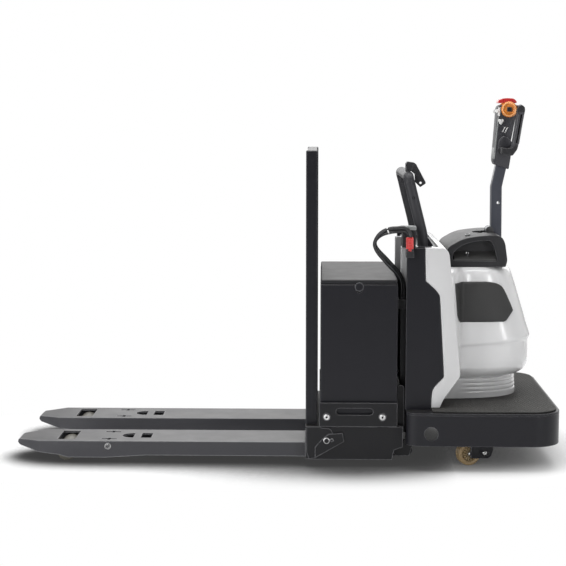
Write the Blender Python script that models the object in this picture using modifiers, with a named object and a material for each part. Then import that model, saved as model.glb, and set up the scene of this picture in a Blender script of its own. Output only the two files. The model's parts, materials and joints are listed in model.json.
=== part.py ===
"""Rider pallet jack: two forks, a lifting battery carriage and an end-control drive unit.

+X runs from the fork tips to the operator's platform and +Z is up. The origin is on the
floor, under the middle of the machine. The forks are modelled lowered. Sizes are in metres.
"""
import math

import bmesh
import bpy
from mathutils import Matrix, Vector

# Driving dimensions
FORK_LENGTH = 1.219            # heel to tip
FORK_SPREAD = 0.690            # over both forks
FORK_WIDTH = 0.224
FORK_TOP = 0.093               # top of a lowered fork
FORK_DEPTH = 0.060             # height of a fork's sides
FORK_STEEL = 0.008
LIFT_TRAVEL = 0.120
BACKREST_TOP = 1.304
BACKREST_WIDTH = 0.700
BACKREST_DEPTH = 0.048
BATTERY_LENGTH = 0.318         # along the machine
BATTERY_WIDTH = 0.760
BATTERY_TOP = 0.778
BATTERY_GAP = 0.012            # backrest to battery
GUIDE_SPACE = 0.044            # battery to bulkhead
UNIT_LENGTH = 0.623            # bulkhead to the platform's rear edge
UNIT_WIDTH = 0.800
UNIT_TOP = 0.911
PLATFORM_WIDTH = 0.960
PLATFORM_TOP = 0.252
SKIRT_BOTTOM = 0.108
LOAD_WHEEL_RADIUS = 0.041
LOAD_WHEEL_WIDTH = 0.150
CASTER_RADIUS = 0.050
CASTER_WIDTH = 0.040
DRIVE_WHEEL_RADIUS = 0.115
DRIVE_WHEEL_WIDTH = 0.090
TILLER_HEIGHT = 1.519
CLEARANCE = 0.0003             # between pieces that touch or turn on each other

# Stations along the machine
HEAD_LENGTH = BACKREST_DEPTH + BATTERY_GAP + BATTERY_LENGTH + GUIDE_SPACE + UNIT_LENGTH
HEEL_X = FORK_LENGTH - (FORK_LENGTH + HEAD_LENGTH) / 2
BATTERY_X = HEEL_X + BACKREST_DEPTH + BATTERY_GAP
BATTERY_REAR = BATTERY_X + BATTERY_LENGTH
UNIT_X = BATTERY_REAR + GUIDE_SPACE
DRIVE_X = UNIT_X + 0.278
CASTER_X = UNIT_X + 0.298
TILLER_X = UNIT_X + 0.378
PLATFORM_REAR = UNIT_X + UNIT_LENGTH

# Fork and load wheel linkage
FORK_Y = (FORK_SPREAD - FORK_WIDTH) / 2
FORK_TAPER = 0.101             # length of the narrowing tip
FORK_TIP_WIDTH = 0.116
YOKE_X = HEEL_X - 0.828
YOKE_Z = FORK_TOP - 0.0215
YOKE_PIN = 0.007
YOKE_EYE = 0.0125
YOKE_LEVER = 0.0294
YOKE_LEVER_TILT = math.radians(22.95)
YOKE_ARM_STEEL = 0.012
LOAD_WHEEL_X = HEEL_X - 1.008
LINK_X = HEEL_X + 0.100
LINK_Z = 0.055
LINK_Y = FORK_SPREAD / 2 - 0.010
LINK_PIN = 0.012
LINK_LEVER = 0.060
LINK_LEVER_TILT = math.radians(10.99)
LINK_REACH = UNIT_X - 0.022 - LINK_X
LUG_X = LINK_X + LINK_REACH
LUG_Z = 0.062
LUG_PIN = 0.010
ROD_RADIUS = 0.011
ROD_EYE_PLAY = 0.003
ROD_Z = YOKE_Z - YOKE_LEVER * math.cos(YOKE_LEVER_TILT)

# Carriage
CARRIAGE_HALF = BATTERY_WIDTH / 2 + 0.010
CARRIAGE_FLOOR = 0.170
CARRIAGE_STEEL = 0.010
CARRIAGE_BOTTOM = 0.033
GATE_STEEL = 0.008
GATE_TOP = 0.271
BEAM_X = BATTERY_REAR + 0.002
BEAM_STEEL = 0.010
BEAM_BOTTOM = 0.300
BEAM_TOP = 0.338
UPRIGHT_Y = 0.350
RAIL_Y = 0.247
RAIL_WIDTH = 0.030
RAIL_STEEL = 0.006
CYLINDER_X = UNIT_X - 0.022
ROD_SHELF = 0.320
LIFT_ROD_RADIUS = 0.0095

# Power unit
PLATE_STEEL = 0.008
BASE_TOP = 0.235
BASE_STEEL = 0.014
DECK_TOP = PLATFORM_TOP - 0.008
SKIRT_WALL = 0.012
CORNER_RADIUS = 0.120
BULKHEAD_BOTTOM = 0.100
DECK_LID_TOP = 0.903
TURNTABLE_RADIUS = 0.150
DRIVE_OPENING = TURNTABLE_RADIUS + 0.015
COVER_WALL = 0.006
COVER_TOP = 0.815
COVER_FOOT = PLATFORM_TOP + CLEARANCE
CASTER_Y = 0.318
CASTER_TRAIL = 0.046
CASTER_YAW = math.radians(20)
CASTER_HEAD = 0.200
GRAB_RADIUS = 0.019
GRAB_OVAL = 1.18                  # how much wider than thick the bar is, seen from the side
GRAB_Y = 0.300
GRAB_TOP = 1.197
GRAB_TOP_X = -0.002

# Tiller
TURRET_Z = 0.872
COLUMN_FOOT = 0.830
COLUMN_RADIUS = 0.020
COLUMN_PLAY = 0.002
TILT_X = TILLER_X - 0.014
TILT_Z = 0.955
TILT_PIN = 0.008
WELL_RADIUS = 0.066
POST_HALF = 0.026
THROTTLE_X = TILLER_X + 0.057
THROTTLE_Z = TILLER_HEIGHT - 0.048
HEAD_HALF = 0.046

SIDES = {"left": 1, "right": -1}

LOOKS = {
    "fork_grey": ((0.11, 0.11, 0.12), 0.45, 0.2),
    "black_paint": ((0.02, 0.02, 0.022), 0.45, 0.0),
    "black_steel": ((0.035, 0.035, 0.04), 0.5, 0.3),
    "white_cover": ((0.72, 0.72, 0.72), 0.3, 0.0),
    "dark_plastic": ((0.06, 0.06, 0.065), 0.55, 0.0),
    "rubber": ((0.05, 0.05, 0.05), 0.85, 0.0),
    "bare_steel": ((0.55, 0.55, 0.56), 0.35, 0.9),
    "tan_tread": ((0.42, 0.27, 0.13), 0.5, 0.0),
    "orange": ((0.85, 0.27, 0.03), 0.4, 0.0),
    "red": ((0.65, 0.03, 0.03), 0.4, 0.0),
    "light_plastic": ((0.8, 0.8, 0.78), 0.4, 0.0),
}

TURNS = {
    "XY": Matrix.Identity(4),
    "XZ": Matrix.Rotation(math.radians(90), 4, "X"),
    "YZ": Matrix(((0, 0, 1, 0), (1, 0, 0, 0), (0, 1, 0, 0), (0, 0, 0, 1))),
}


# Scene and modelling tools

def start_scene():
    """Empty the scene and return the collections for the parts and the cutters."""
    for old in list(bpy.data.objects):
        bpy.data.objects.remove(old, do_unlink=True)
    collections = []
    for name in ("pallet_jack", "cutters"):
        collection = bpy.data.collections.new(name)
        bpy.context.scene.collection.children.link(collection)
        collections.append(collection)
    return collections


PARTS, CUTTERS = start_scene()


def new_object(name, data, matrix=None):
    obj = bpy.data.objects.new(name, data)
    PARTS.objects.link(obj)
    if matrix is not None:
        obj.matrix_world = matrix
    return obj


def stow(obj):
    """Hide a cutter and keep it with the others."""
    PARTS.objects.unlink(obj)
    CUTTERS.objects.link(obj)
    obj.hide_render = True
    obj.display_type = "WIRE"


def finish(obj, name, look):
    """Name a sub-part and give it its own material."""
    colour, roughness, metallic = LOOKS[look]
    material = bpy.data.materials.new(name)
    material.use_nodes = True
    shader = material.node_tree.nodes["Principled BSDF"]
    shader.inputs["Base Color"].default_value = (*colour, 1)
    shader.inputs["Roughness"].default_value = roughness
    shader.inputs["Metallic"].default_value = metallic
    obj.data.materials.clear()
    obj.data.materials.append(material)
    obj.name = name
    return obj


def from_bmesh(name, bm, matrix=None):
    mesh = bpy.data.meshes.new(name)
    bm.to_mesh(mesh)
    bm.free()
    return new_object(name, mesh, matrix)


def bevel(obj, width, segments=2, angle=30):
    modifier = obj.modifiers.new("Bevel", "BEVEL")
    modifier.width = width
    modifier.segments = segments
    modifier.limit_method = "ANGLE"
    modifier.angle_limit = math.radians(angle)
    return obj


def boolean(obj, other, operation):
    modifier = obj.modifiers.new(operation.title(), "BOOLEAN")
    modifier.operation = operation
    modifier.object = other
    stow(other)
    return obj


def cut(obj, *others):
    for other in others:
        boolean(obj, other, "DIFFERENCE")
    return obj


def join(obj, *others):
    for other in others:
        boolean(obj, other, "UNION")
    return obj


def common(obj, other):
    return boolean(obj, other, "INTERSECT")


def box(low, high, edge=0.0, segments=1):
    """A block between two corners, with rounded edges where asked."""
    bm = bmesh.new()
    bmesh.ops.create_cube(bm, size=1)
    bmesh.ops.scale(bm, vec=Vector(high) - Vector(low), verts=bm.verts)
    obj = from_bmesh("box", bm, Matrix.Translation((Vector(low) + Vector(high)) / 2))
    if edge:
        bevel(obj, edge, segments)
    return obj


def cylinder(start, end, radius, sides=24, end_radius=None):
    """A round bar between two points."""
    start, end = Vector(start), Vector(end)
    bm = bmesh.new()
    bmesh.ops.create_cone(
        bm, cap_ends=True, segments=sides, radius1=radius,
        radius2=radius if end_radius is None else end_radius, depth=(end - start).length)
    turn = (end - start).to_track_quat("Z", "Y").to_matrix().to_4x4()
    obj = from_bmesh("cylinder", bm, Matrix.Translation((start + end) / 2) @ turn)
    shade_round(obj)
    return obj


def shade_round(obj):
    obj.data.shade_smooth()
    obj.data.set_sharp_from_angle(angle=math.radians(35))


def as_mesh(curve_object):
    """The curve as a closed mesh, with its caps welded on."""
    evaluated = curve_object.evaluated_get(bpy.context.evaluated_depsgraph_get())
    mesh = bpy.data.meshes.new_from_object(evaluated)
    bm = bmesh.new()
    bm.from_mesh(mesh)
    bmesh.ops.remove_doubles(bm, verts=bm.verts, dist=0.00001)
    bmesh.ops.recalc_face_normals(bm, faces=bm.faces)
    bm.to_mesh(mesh)
    bm.free()
    obj = new_object(curve_object.name, mesh, curve_object.matrix_world.copy())
    bpy.data.objects.remove(curve_object, do_unlink=True)
    shade_round(obj)
    return obj


def plate(outline, low, high, plane="XZ", holes=()):
    """A flat outline with its holes, extruded between two levels across its plane."""
    curve = bpy.data.curves.new("plate", "CURVE")
    curve.dimensions = "2D"
    curve.fill_mode = "BOTH"
    curve.extrude = (high - low) / 2
    for loop in (outline, *holes):
        spline = curve.splines.new("POLY")
        spline.points.add(len(loop) - 1)
        for point, (a, b) in zip(spline.points, loop):
            point.co = (a, b, 0, 1)
        spline.use_cyclic_u = True
    middle = (low + high) / 2
    shift = {"XY": (0, 0, middle), "XZ": (0, middle, 0), "YZ": (middle, 0, 0)}[plane]
    return as_mesh(new_object("plate", curve, Matrix.Translation(shift) @ TURNS[plane]))


def tube(points, radius, sides_level=2, matrix=None):
    """A round tube along a line of points."""
    curve = bpy.data.curves.new("tube", "CURVE")
    curve.dimensions = "3D"
    curve.bevel_depth = radius
    curve.bevel_resolution = sides_level
    curve.use_fill_caps = True
    spline = curve.splines.new("POLY")
    spline.points.add(len(points) - 1)
    for point, place in zip(spline.points, points):
        point.co = (*place, 1)
    return as_mesh(new_object("tube", curve, matrix))


def turned(profile, matrix, steps=24):
    """A profile of radius and height turned about its own Z axis, outer side from the top."""
    mesh = bpy.data.meshes.new("turned")
    bm = bmesh.new()
    verts = [bm.verts.new((radius, 0, height)) for radius, height in profile]
    for first, second in zip(verts, verts[1:]):
        bm.edges.new((first, second))
    if profile[0][0] > 0:
        bm.edges.new((verts[-1], verts[0]))
    bm.to_mesh(mesh)
    bm.free()
    obj = new_object("turned", mesh, matrix)
    screw = obj.modifiers.new("Screw", "SCREW")
    screw.steps = steps
    screw.render_steps = steps
    screw.use_merge_vertices = True
    screw.merge_threshold = 0.00001
    screw.use_smooth_shade = True
    return obj


def along_y(x, y, z, yaw=0.0):
    """A frame whose Z axis lies along +Y, turned about the vertical by yaw."""
    lie = Matrix.Rotation(math.radians(-90), 4, "X")
    return Matrix.Translation((x, y, z)) @ Matrix.Rotation(yaw, 4, "Z") @ lie


def arc(centre, radius, start, end, count):
    """Points on an arc, angles in degrees."""
    angles = [math.radians(start + (end - start) * i / (count - 1)) for i in range(count)]
    return [(centre[0] + radius * math.cos(a), centre[1] + radius * math.sin(a)) for a in angles]


def circle(centre, radius, count=16):
    return arc(centre, radius, 0, 360, count + 1)[:-1]


def slot(low, high, radius, count=5):
    """A slot with round ends between two centres on one level."""
    return arc(high, radius, -90, 90, count) + arc(low, radius, 90, 270, count)


def rectangle(low, high):
    return [(low[0], low[1]), (high[0], low[1]), (high[0], high[1]), (low[0], high[1])]


def smooth(points, per_span=4):
    """Points on a smooth curve through the given ones."""
    ends = [points[0], *points, points[-1]]
    result = []
    for before, first, second, after in zip(ends, ends[1:], ends[2:], ends[3:]):
        a, b, c, d = (Vector(p) for p in (before, first, second, after))
        for i in range(per_span):
            t = i / per_span
            result.append(0.5 * (2 * b + (c - a) * t + (2 * a - 5 * b + 4 * c - d) * t ** 2
                                 + (3 * b - a - 3 * c + d) * t ** 3))
    return [*result, Vector(points[-1])]


def from_heel(points):
    """Outline points given by their distance behind the fork heel and their height."""
    return [(HEEL_X + x, z) for x, z in points]


def from_unit(points):
    """Outline points given by their distance behind the bulkhead and their height."""
    return [(UNIT_X + x, z) for x, z in points]


# Forks and load wheels

def fork_profile(inset=0.0):
    """Side view of a fork: deeper round the yoke, rising to a thin tip."""
    bottom = FORK_TOP - FORK_DEPTH
    belly = bottom - 0.0105
    top = FORK_TOP - inset
    if inset:
        below = bottom - 0.05
        tip = FORK_LENGTH - 0.030
        side = [(-0.05, below), (tip, below), (tip, 0.080), (tip - 0.06, top), (-0.05, top)]
    else:
        side = [(0, bottom), (0.669, bottom), (0.836, belly), (0.9935, belly),
                (FORK_LENGTH - 0.188, bottom), (FORK_LENGTH - FORK_TAPER, 0.044),
                (FORK_LENGTH - 0.010, 0.063), (FORK_LENGTH, 0.072), (FORK_LENGTH - 0.002, 0.083),
                (FORK_LENGTH - 0.010, 0.089), (FORK_LENGTH - FORK_TAPER, top), (0, top)]
    return [(HEEL_X - CLEARANCE - d, z) for d, z in side]


def fork_plan(y, inset=0.0):
    """Top view of a fork with its narrowing tip."""
    half = FORK_WIDTH / 2 - inset
    tip = FORK_TIP_WIDTH / 2 - inset
    start = HEEL_X + 0.05
    taper = HEEL_X - FORK_LENGTH + FORK_TAPER + 0.004
    nose = HEEL_X - FORK_LENGTH - 0.004
    edge = [(start, half), (taper, half), (nose + 0.018, tip), (nose, tip - 0.016)]
    return [(x, y + side) for x, side in edge] + [(x, y - side) for x, side in reversed(edge)]


def fork_windows(y):
    """The openings in a fork's top: wheel, yoke slots, round-ended hole and square hole."""
    wheel = rectangle((LOAD_WHEEL_X - 0.037, y - 0.080), (LOAD_WHEEL_X + 0.037, y + 0.080))
    holes = [wheel]
    for offset in (-0.069, 0.069):
        long, wide, tick_long, tick_wide = 0.033, 0.007, 0.007, 0.016
        cross = [(long, wide), (tick_long, wide), (tick_long, tick_wide), (-tick_long, tick_wide),
                 (-tick_long, wide), (-long, wide)]
        cross += [(-a, -b) for a, b in cross]
        holes.append([(YOKE_X + a, y + offset + b) for a, b in cross])
    flat = HEEL_X - 0.730
    holes.append([(flat - 0.051 * math.sin(a), y + 0.043 * math.cos(a))
                  for a in (math.pi * i / 8 for i in range(9))])
    holes.append(rectangle((HEEL_X - 0.699, y - 0.044), (HEEL_X - 0.654, y + 0.044)))
    return holes


def make_fork(name, side):
    y = side * FORK_Y
    half = FORK_WIDTH / 2
    fork = plate(fork_profile(), y - half - 0.02, y + half + 0.02)
    common(fork, plate(fork_plan(y), 0, FORK_TOP + 0.05, "XY", fork_windows(y)))
    cavity = plate(fork_profile(FORK_STEEL), y - half, y + half)
    common(cavity, plate(fork_plan(y, FORK_STEEL), -0.1, FORK_TOP, "XY"))
    cut(fork, cavity)
    inner = half - FORK_STEEL
    outer_face = y + side * (half + 0.004)
    inner_face = y - side * (half - FORK_STEEL - 0.001)
    join(fork, cylinder((YOKE_X, inner_face - side * 0.004, YOKE_Z),
                        (YOKE_X, y + side * inner, YOKE_Z), YOKE_PIN, 16))
    join(fork, cylinder((YOKE_X, y + side * (inner - 0.002), YOKE_Z),
                        (YOKE_X, outer_face, YOKE_Z), YOKE_PIN + 0.006, 16))
    finish(fork, name, "fork_grey")


def make_yoke(name, side):
    """The arm that carries a load wheel, with the lever that the pull rod works."""
    y = side * FORK_Y
    dx, dz = LOAD_WHEEL_X - YOKE_X, LOAD_WHEEL_RADIUS - YOKE_Z
    lean = math.degrees(math.atan2(dz, dx))
    outline = (arc((YOKE_X, YOKE_Z), YOKE_EYE, lean - 270, lean - 90, 7)
               + arc((LOAD_WHEEL_X, LOAD_WHEEL_RADIUS), 0.0150, lean - 90, lean + 90, 7))
    arm_face = LOAD_WHEEL_WIDTH / 2 + 0.002
    reach = arm_face + YOKE_ARM_STEEL + 0.01
    yoke = plate(outline, y + arm_face, y + arm_face + YOKE_ARM_STEEL)
    join(yoke, plate(outline, y - arm_face - YOKE_ARM_STEEL, y - arm_face))
    join(yoke, cylinder((YOKE_X, y - arm_face - 0.004, YOKE_Z),
                        (YOKE_X, y + arm_face + 0.004, YOKE_Z), YOKE_EYE - 0.0005, 16))
    pin = (YOKE_X - YOKE_LEVER * math.sin(YOKE_LEVER_TILT), ROD_Z)
    for offset in (-1, 1):
        inner, outer = sorted((y + offset * 0.0078, y + offset * 0.0150))
        lever = (arc(pin, 0.0105, -180, 0, 6)
                 + [(YOKE_X + 0.0105, YOKE_Z - 0.004), (YOKE_X - 0.0105, YOKE_Z - 0.004)])
        join(yoke, plate(lever, inner, outer))
    join(yoke, cylinder((pin[0], y - 0.011, pin[1]), (pin[0], y + 0.011, pin[1]), 0.005, 10))
    axle = LOAD_WHEEL_RADIUS
    join(yoke, cylinder((LOAD_WHEEL_X, y - arm_face - 0.006, axle),
                        (LOAD_WHEEL_X, y + arm_face + 0.006, axle), 0.009, 12))
    cut(yoke, cylinder((YOKE_X, y - reach, YOKE_Z), (YOKE_X, y + reach, YOKE_Z),
                       YOKE_PIN + CLEARANCE, 16))
    finish(yoke, name, "black_steel")


def wheel_profile(radius, width, bore, edge, hub_radius=None, dish=0.0):
    """Half section of a wheel with rounded tread edges, and a dished hub where asked."""
    half = width / 2
    outer = [(radius - edge, half), (radius, half - edge), (radius, edge - half),
             (radius - edge, -half)]
    if not hub_radius:
        return [(bore, half), *outer, (bore, -half)]
    inner = hub_radius * 0.55
    top = [(bore, half), (inner, half), (inner + 0.002, half - dish),
           (hub_radius, half - dish), (hub_radius + 0.002, half)]
    return top + outer + [(r, -z) for r, z in reversed(top)]


def make_load_wheel(name, side):
    profile = wheel_profile(LOAD_WHEEL_RADIUS, LOAD_WHEEL_WIDTH, 0.009 + CLEARANCE, 0.003)
    wheel = turned(profile, along_y(LOAD_WHEEL_X, side * FORK_Y, LOAD_WHEEL_RADIUS), 24)
    finish(wheel, name, "tan_tread")


def make_pull_rod(name, side):
    """The rod from the lift link to the yoke, with a plate end that rises behind the heel."""
    y = side * FORK_Y
    front = (YOKE_X - YOKE_LEVER * math.sin(YOKE_LEVER_TILT), ROD_Z)
    rear_x = LINK_X - LINK_LEVER * math.sin(LINK_LEVER_TILT)
    rear = (rear_x, LINK_Z + LINK_LEVER * math.cos(LINK_LEVER_TILT))
    eye = 0.005 + ROD_EYE_PLAY
    nose = plate(arc(front, 0.0125, 90, 270, 7)
                 + [(front[0] + 0.060, ROD_Z - 0.0125), (front[0] + 0.060, ROD_Z + 0.0125)],
                 y - 0.007, y + 0.007, holes=[circle(front, eye, 12)])
    join(nose, cylinder((front[0] + 0.050, y, ROD_Z), (HEEL_X - 0.020, y, ROD_Z), ROD_RADIUS, 16))
    tail = ([(HEEL_X - 0.045, ROD_Z - 0.013), (HEEL_X + 0.015, ROD_Z - 0.013)]
            + arc(rear, 0.016, -60, 130, 7)
            + [(HEEL_X - 0.010, ROD_Z + 0.013), (HEEL_X - 0.045, ROD_Z + 0.013)])
    join(nose, plate(tail, y - 0.007, y + 0.007, holes=[circle(rear, 0.006 + ROD_EYE_PLAY, 12)]))
    finish(nose, name, "black_steel")


def make_lift_link(name, side):
    """The rocker that the unit holds down by its tail as the carriage rises."""
    y, arm_y = side * FORK_Y, side * LINK_Y
    pivot = (LINK_X, LINK_Z)
    slope = math.atan2(LUG_Z - LINK_Z, LINK_REACH)
    slip = 0.0215
    tail = Matrix.Rotation(slope, 2)
    reach = math.hypot(LINK_REACH, LUG_Z - LINK_Z)
    slot_low, slot_high = (tuple(tail @ Vector((d, 0))) for d in (reach, reach + slip))
    degrees = math.degrees(slope)

    def on_arm(points):
        return [(LINK_X + a, LINK_Z + b) for a, b in points]

    outline = (arc(slot_high, 0.024, degrees - 90, degrees + 90, 7)
               + arc((0, 0), 0.022, degrees + 90, degrees + 270, 7))
    play = LUG_PIN + 0.004
    long_hole = (arc(slot_high, play, degrees - 90, degrees + 90, 6)
                 + arc(slot_low, play, degrees + 90, degrees + 270, 6))
    low, high = sorted((arm_y - side * 0.008, arm_y + side * 0.008))
    link = plate(on_arm(outline), low, high, holes=[on_arm(long_hole)])
    join(link, cylinder((pivot[0], arm_y, pivot[1]), (pivot[0], y - side * 0.022, pivot[1]),
                        0.0190, 16))
    pin = (LINK_X - LINK_LEVER * math.sin(LINK_LEVER_TILT),
           LINK_Z + LINK_LEVER * math.cos(LINK_LEVER_TILT))
    turn = math.degrees(LINK_LEVER_TILT)
    lever = arc(pin, 0.0135, turn, turn + 180, 7) + arc(pivot, 0.0200, turn + 180, turn + 360, 7)
    for offset in (-1, 1):
        inner, outer = sorted((y + offset * 0.0078, y + offset * 0.0160))
        join(link, plate(lever, inner, outer))
    join(link, cylinder((pin[0], y - 0.014, pin[1]), (pin[0], y + 0.014, pin[1]), 0.006, 12))
    cut(link, cylinder((LINK_X, y - side * 0.04, LINK_Z), (LINK_X, arm_y + side * 0.02, LINK_Z),
                       LINK_PIN + CLEARANCE, 16))
    finish(link, name, "black_steel")


# Carriage

def make_carriage_frame():
    """The welded tray under the battery, with its lift beam and the link pins."""
    half, steel = CARRIAGE_HALF, CARRIAGE_STEEL
    floor = CARRIAGE_FLOOR
    back = BATTERY_LENGTH + BACKREST_DEPTH + BATTERY_GAP
    frame = box((HEEL_X, -half, floor - steel), (BEAM_X + BEAM_STEEL, half, floor))
    cut(frame, box((BATTERY_REAR + 0.001, -0.026, floor - 0.03), (UNIT_X, 0.026, floor + 0.01)))
    front = box((HEEL_X, -half, CARRIAGE_BOTTOM), (HEEL_X + 0.012, half, floor))
    side = from_heel([(0.002, 0.060), (0.014, 0.031), (back - 0.021, 0.031),
                      (back - 0.012, 0.072), (back + 0.023, 0.085), (back + 0.024, floor),
                      (back - 0.038, floor), (back - 0.038, 0.236), (back - 0.080, 0.236),
                      (back - 0.080, floor), (0.108, floor), (0.108, 0.236), (0.066, 0.236),
                      (0.066, floor), (0.002, floor)])
    join(frame, front)
    for sign in (-1, 1):
        low, high = sorted((sign * (half - steel + CLEARANCE), sign * half))
        join(frame, plate(side, low, high))
        add_link_hanger(frame, sign)
        add_rear_upright(frame, sign)
    join(frame, box((BEAM_X, -UPRIGHT_Y, BEAM_BOTTOM),
                    (BEAM_X + BEAM_STEEL, UPRIGHT_Y, BEAM_TOP - 0.001)))
    join(frame, box((BEAM_X + 0.001, -0.024, ROD_SHELF), (UNIT_X - 0.004, 0.024, BEAM_TOP - 0.002)))
    for sign in (-1, 1):
        slot_half = 0.026
        cut(frame, box((HEEL_X - 0.01, sign * FORK_Y - slot_half, CARRIAGE_BOTTOM - 0.02),
                       (HEEL_X + 0.03, sign * FORK_Y + slot_half, 0.135)))
    finish(frame, "carriage_frame", "black_paint")


def add_link_hanger(frame, sign):
    """Two ears and a pin under the floor for one lift link."""
    inner_y, outer_y = sign * (FORK_Y - 0.030), sign * (LINK_Y + 0.017)
    ear = arc((LINK_X, LINK_Z), 0.019, -180, 0, 7)
    ear += [(LINK_X + 0.030, CARRIAGE_FLOOR - 0.004), (LINK_X - 0.030, CARRIAGE_FLOOR - 0.004)]
    for y in (inner_y, outer_y):
        join(frame, plate(ear, y - 0.004, y + 0.004))
    join(frame, cylinder((LINK_X, inner_y, LINK_Z), (LINK_X, outer_y, LINK_Z), LINK_PIN, 16))


def add_rear_upright(frame, sign):
    """A round-topped upright behind the battery and the blocks that run in its rail."""
    left, right = BEAM_X, UNIT_X - 0.015
    middle = (left + right) / 2
    outline = [(left, CARRIAGE_FLOOR - 0.005), (right, CARRIAGE_FLOOR - 0.005)]
    outline += arc((middle, BEAM_TOP - (right - left) / 2), (right - left) / 2, 0, 180, 7)
    low, high = sorted((sign * (UPRIGHT_Y - 0.006), sign * (UPRIGHT_Y + 0.006)))
    join(frame, plate(outline, low, high))
    block_half = RAIL_WIDTH / 2 - RAIL_STEEL - CLEARANCE
    y = sign * RAIL_Y
    join(frame, box((BEAM_X + 0.004, y - block_half, BEAM_BOTTOM + 0.004),
                    (UNIT_X - RAIL_STEEL - 2 * CLEARANCE, y + block_half, BEAM_TOP - 0.004)))


def make_backrest():
    """The load backrest: two uprights, three rails and four slats."""
    half, bar = BACKREST_WIDTH / 2, 0.040
    bottom = CARRIAGE_FLOOR + CLEARANCE
    back = HEEL_X + BACKREST_DEPTH
    rest = box((HEEL_X, -half, bottom), (back, -half + bar, BACKREST_TOP), 0.003)
    join(rest, box((HEEL_X, half - bar, bottom), (back, half, BACKREST_TOP), 0.003))
    middle = (bottom + BACKREST_TOP) / 2
    for low in (bottom, middle - bar / 2, BACKREST_TOP - bar):
        join(rest, box((HEEL_X + 0.005, -half + 0.01, low + 0.0005),
                       (back - 0.005, half - 0.01, low + bar - 0.0005)))
    slats = 4
    pitch = (BACKREST_WIDTH - bar) / (slats + 1)
    for i in range(slats):
        y = -half + bar / 2 + pitch * (i + 1)
        join(rest, box((HEEL_X + 0.016, y - 0.020, bottom + 0.01),
                       (HEEL_X + 0.028, y + 0.020, BACKREST_TOP - 0.01)))
    finish(rest, "backrest", "black_paint")


def make_heel_bracket(name, side):
    """The foot plate beside the heel, with its raised gusset and two bolts."""
    face = CARRIAGE_HALF + CLEARANCE
    foot = from_heel([(0.004, 0.062), (0.014, 0.034), (0.040, 0.038), (0.159, 0.108),
                      (0.153, 0.1435), (0.1137, 0.1400), (0.106, 0.156), (0.096, 0.1625),
                      (0.066, 0.165), (0.058, 0.1695), (0.004, 0.1695)])
    gusset = from_heel([(0.040, 0.040), (0.159, 0.108), (0.153, 0.1435), (0.095, 0.1385),
                        (0.070, 0.118), (0.050, 0.096), (0.040, 0.084)])
    low, high = sorted((side * face, side * (face + 0.005)))
    bracket = plate(foot, low, high)
    low, high = sorted((side * (face + 0.003), side * (face + 0.0085)))
    join(bracket, plate(gusset, low, high))
    for x, z, radius in ((0.087, 0.112, 0.0105), (0.109, 0.114, 0.006)):
        join(bracket, cylinder((HEEL_X + x, side * (face + 0.006), z),
                               (HEEL_X + x, side * (face + 0.013), z), radius, 12))
    finish(bracket, name, "black_paint")


def make_side_gate(name, side):
    """The plate that keeps the battery in, with its hand slot and two bolts."""
    face = CARRIAGE_HALF + CLEARANCE
    low, high = sorted((side * face, side * (face + GATE_STEEL)))
    left, right = HEEL_X + 0.056, BATTERY_REAR
    bottom = CARRIAGE_FLOOR + 0.001
    outline = rectangle((left, bottom), (right, GATE_TOP))
    middle = HEEL_X + 0.202
    hand = slot((middle - 0.063, 0.234), (middle + 0.063, 0.234), 0.0135)
    gate = plate(outline, low, high, holes=[hand])
    for x in (HEEL_X + 0.087, BATTERY_REAR - 0.061):
        join(gate, cylinder((x, side * (face + 0.004), 0.212),
                            (x, side * (face + GATE_STEEL + 0.006), 0.212), 0.0150, 20))
    finish(gate, name, "black_paint")


def make_battery():
    half = BATTERY_WIDTH / 2
    low = CARRIAGE_FLOOR + CLEARANCE
    seam = BATTERY_TOP - 0.018
    case = box((BATTERY_X, -half, low), (BATTERY_REAR, half, seam - CLEARANCE), 0.003)
    x, z = BATTERY_X + BATTERY_LENGTH / 2, BATTERY_TOP - 0.036
    for sign in (-1, 1):
        cut(case, cylinder((x, sign * (half - 0.014), z), (x, sign * (half + 0.010), z),
                           0.0165, 20))
    finish(case, "battery_case", "black_paint")
    lid = box((BATTERY_X + 0.001, -half + 0.001, seam),
              (BATTERY_REAR - 0.001, half - 0.001, BATTERY_TOP), 0.004)
    finish(lid, "battery_lid", "black_paint")
    make_gland()


def make_gland():
    """The elbow on the battery's rear face that takes both leads from above."""
    face = BATTERY_REAR + CLEARANCE
    top = CABLE_FOOT - CLEARANCE
    elbow = box((face, CABLE_END_Y - 0.017, top - 0.048),
                (UNIT_X + CABLE_DROP_X + 0.014, CABLE_END_Y + 0.017, top - 0.010), 0.003)
    join(elbow, box((face, CABLE_END_Y - 0.030, top - 0.058),
                    (face + 0.004, CABLE_END_Y + 0.030, top - 0.002)))
    for index in (0, 1):
        x, y, z = cable_route(index)[-1]
        join(elbow, cylinder((x, y, top - 0.014), (x, y, top), CABLE_RADIUS + 0.001, 16))
    finish(elbow, "battery_gland", "dark_plastic")


def make_lift_rod():
    rod = cylinder((CYLINDER_X, 0, 0.140), (CYLINDER_X, 0, ROD_SHELF - CLEARANCE),
                   LIFT_ROD_RADIUS, 16)
    finish(rod, "lift_rod", "bare_steel")


# Power unit structure

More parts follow.
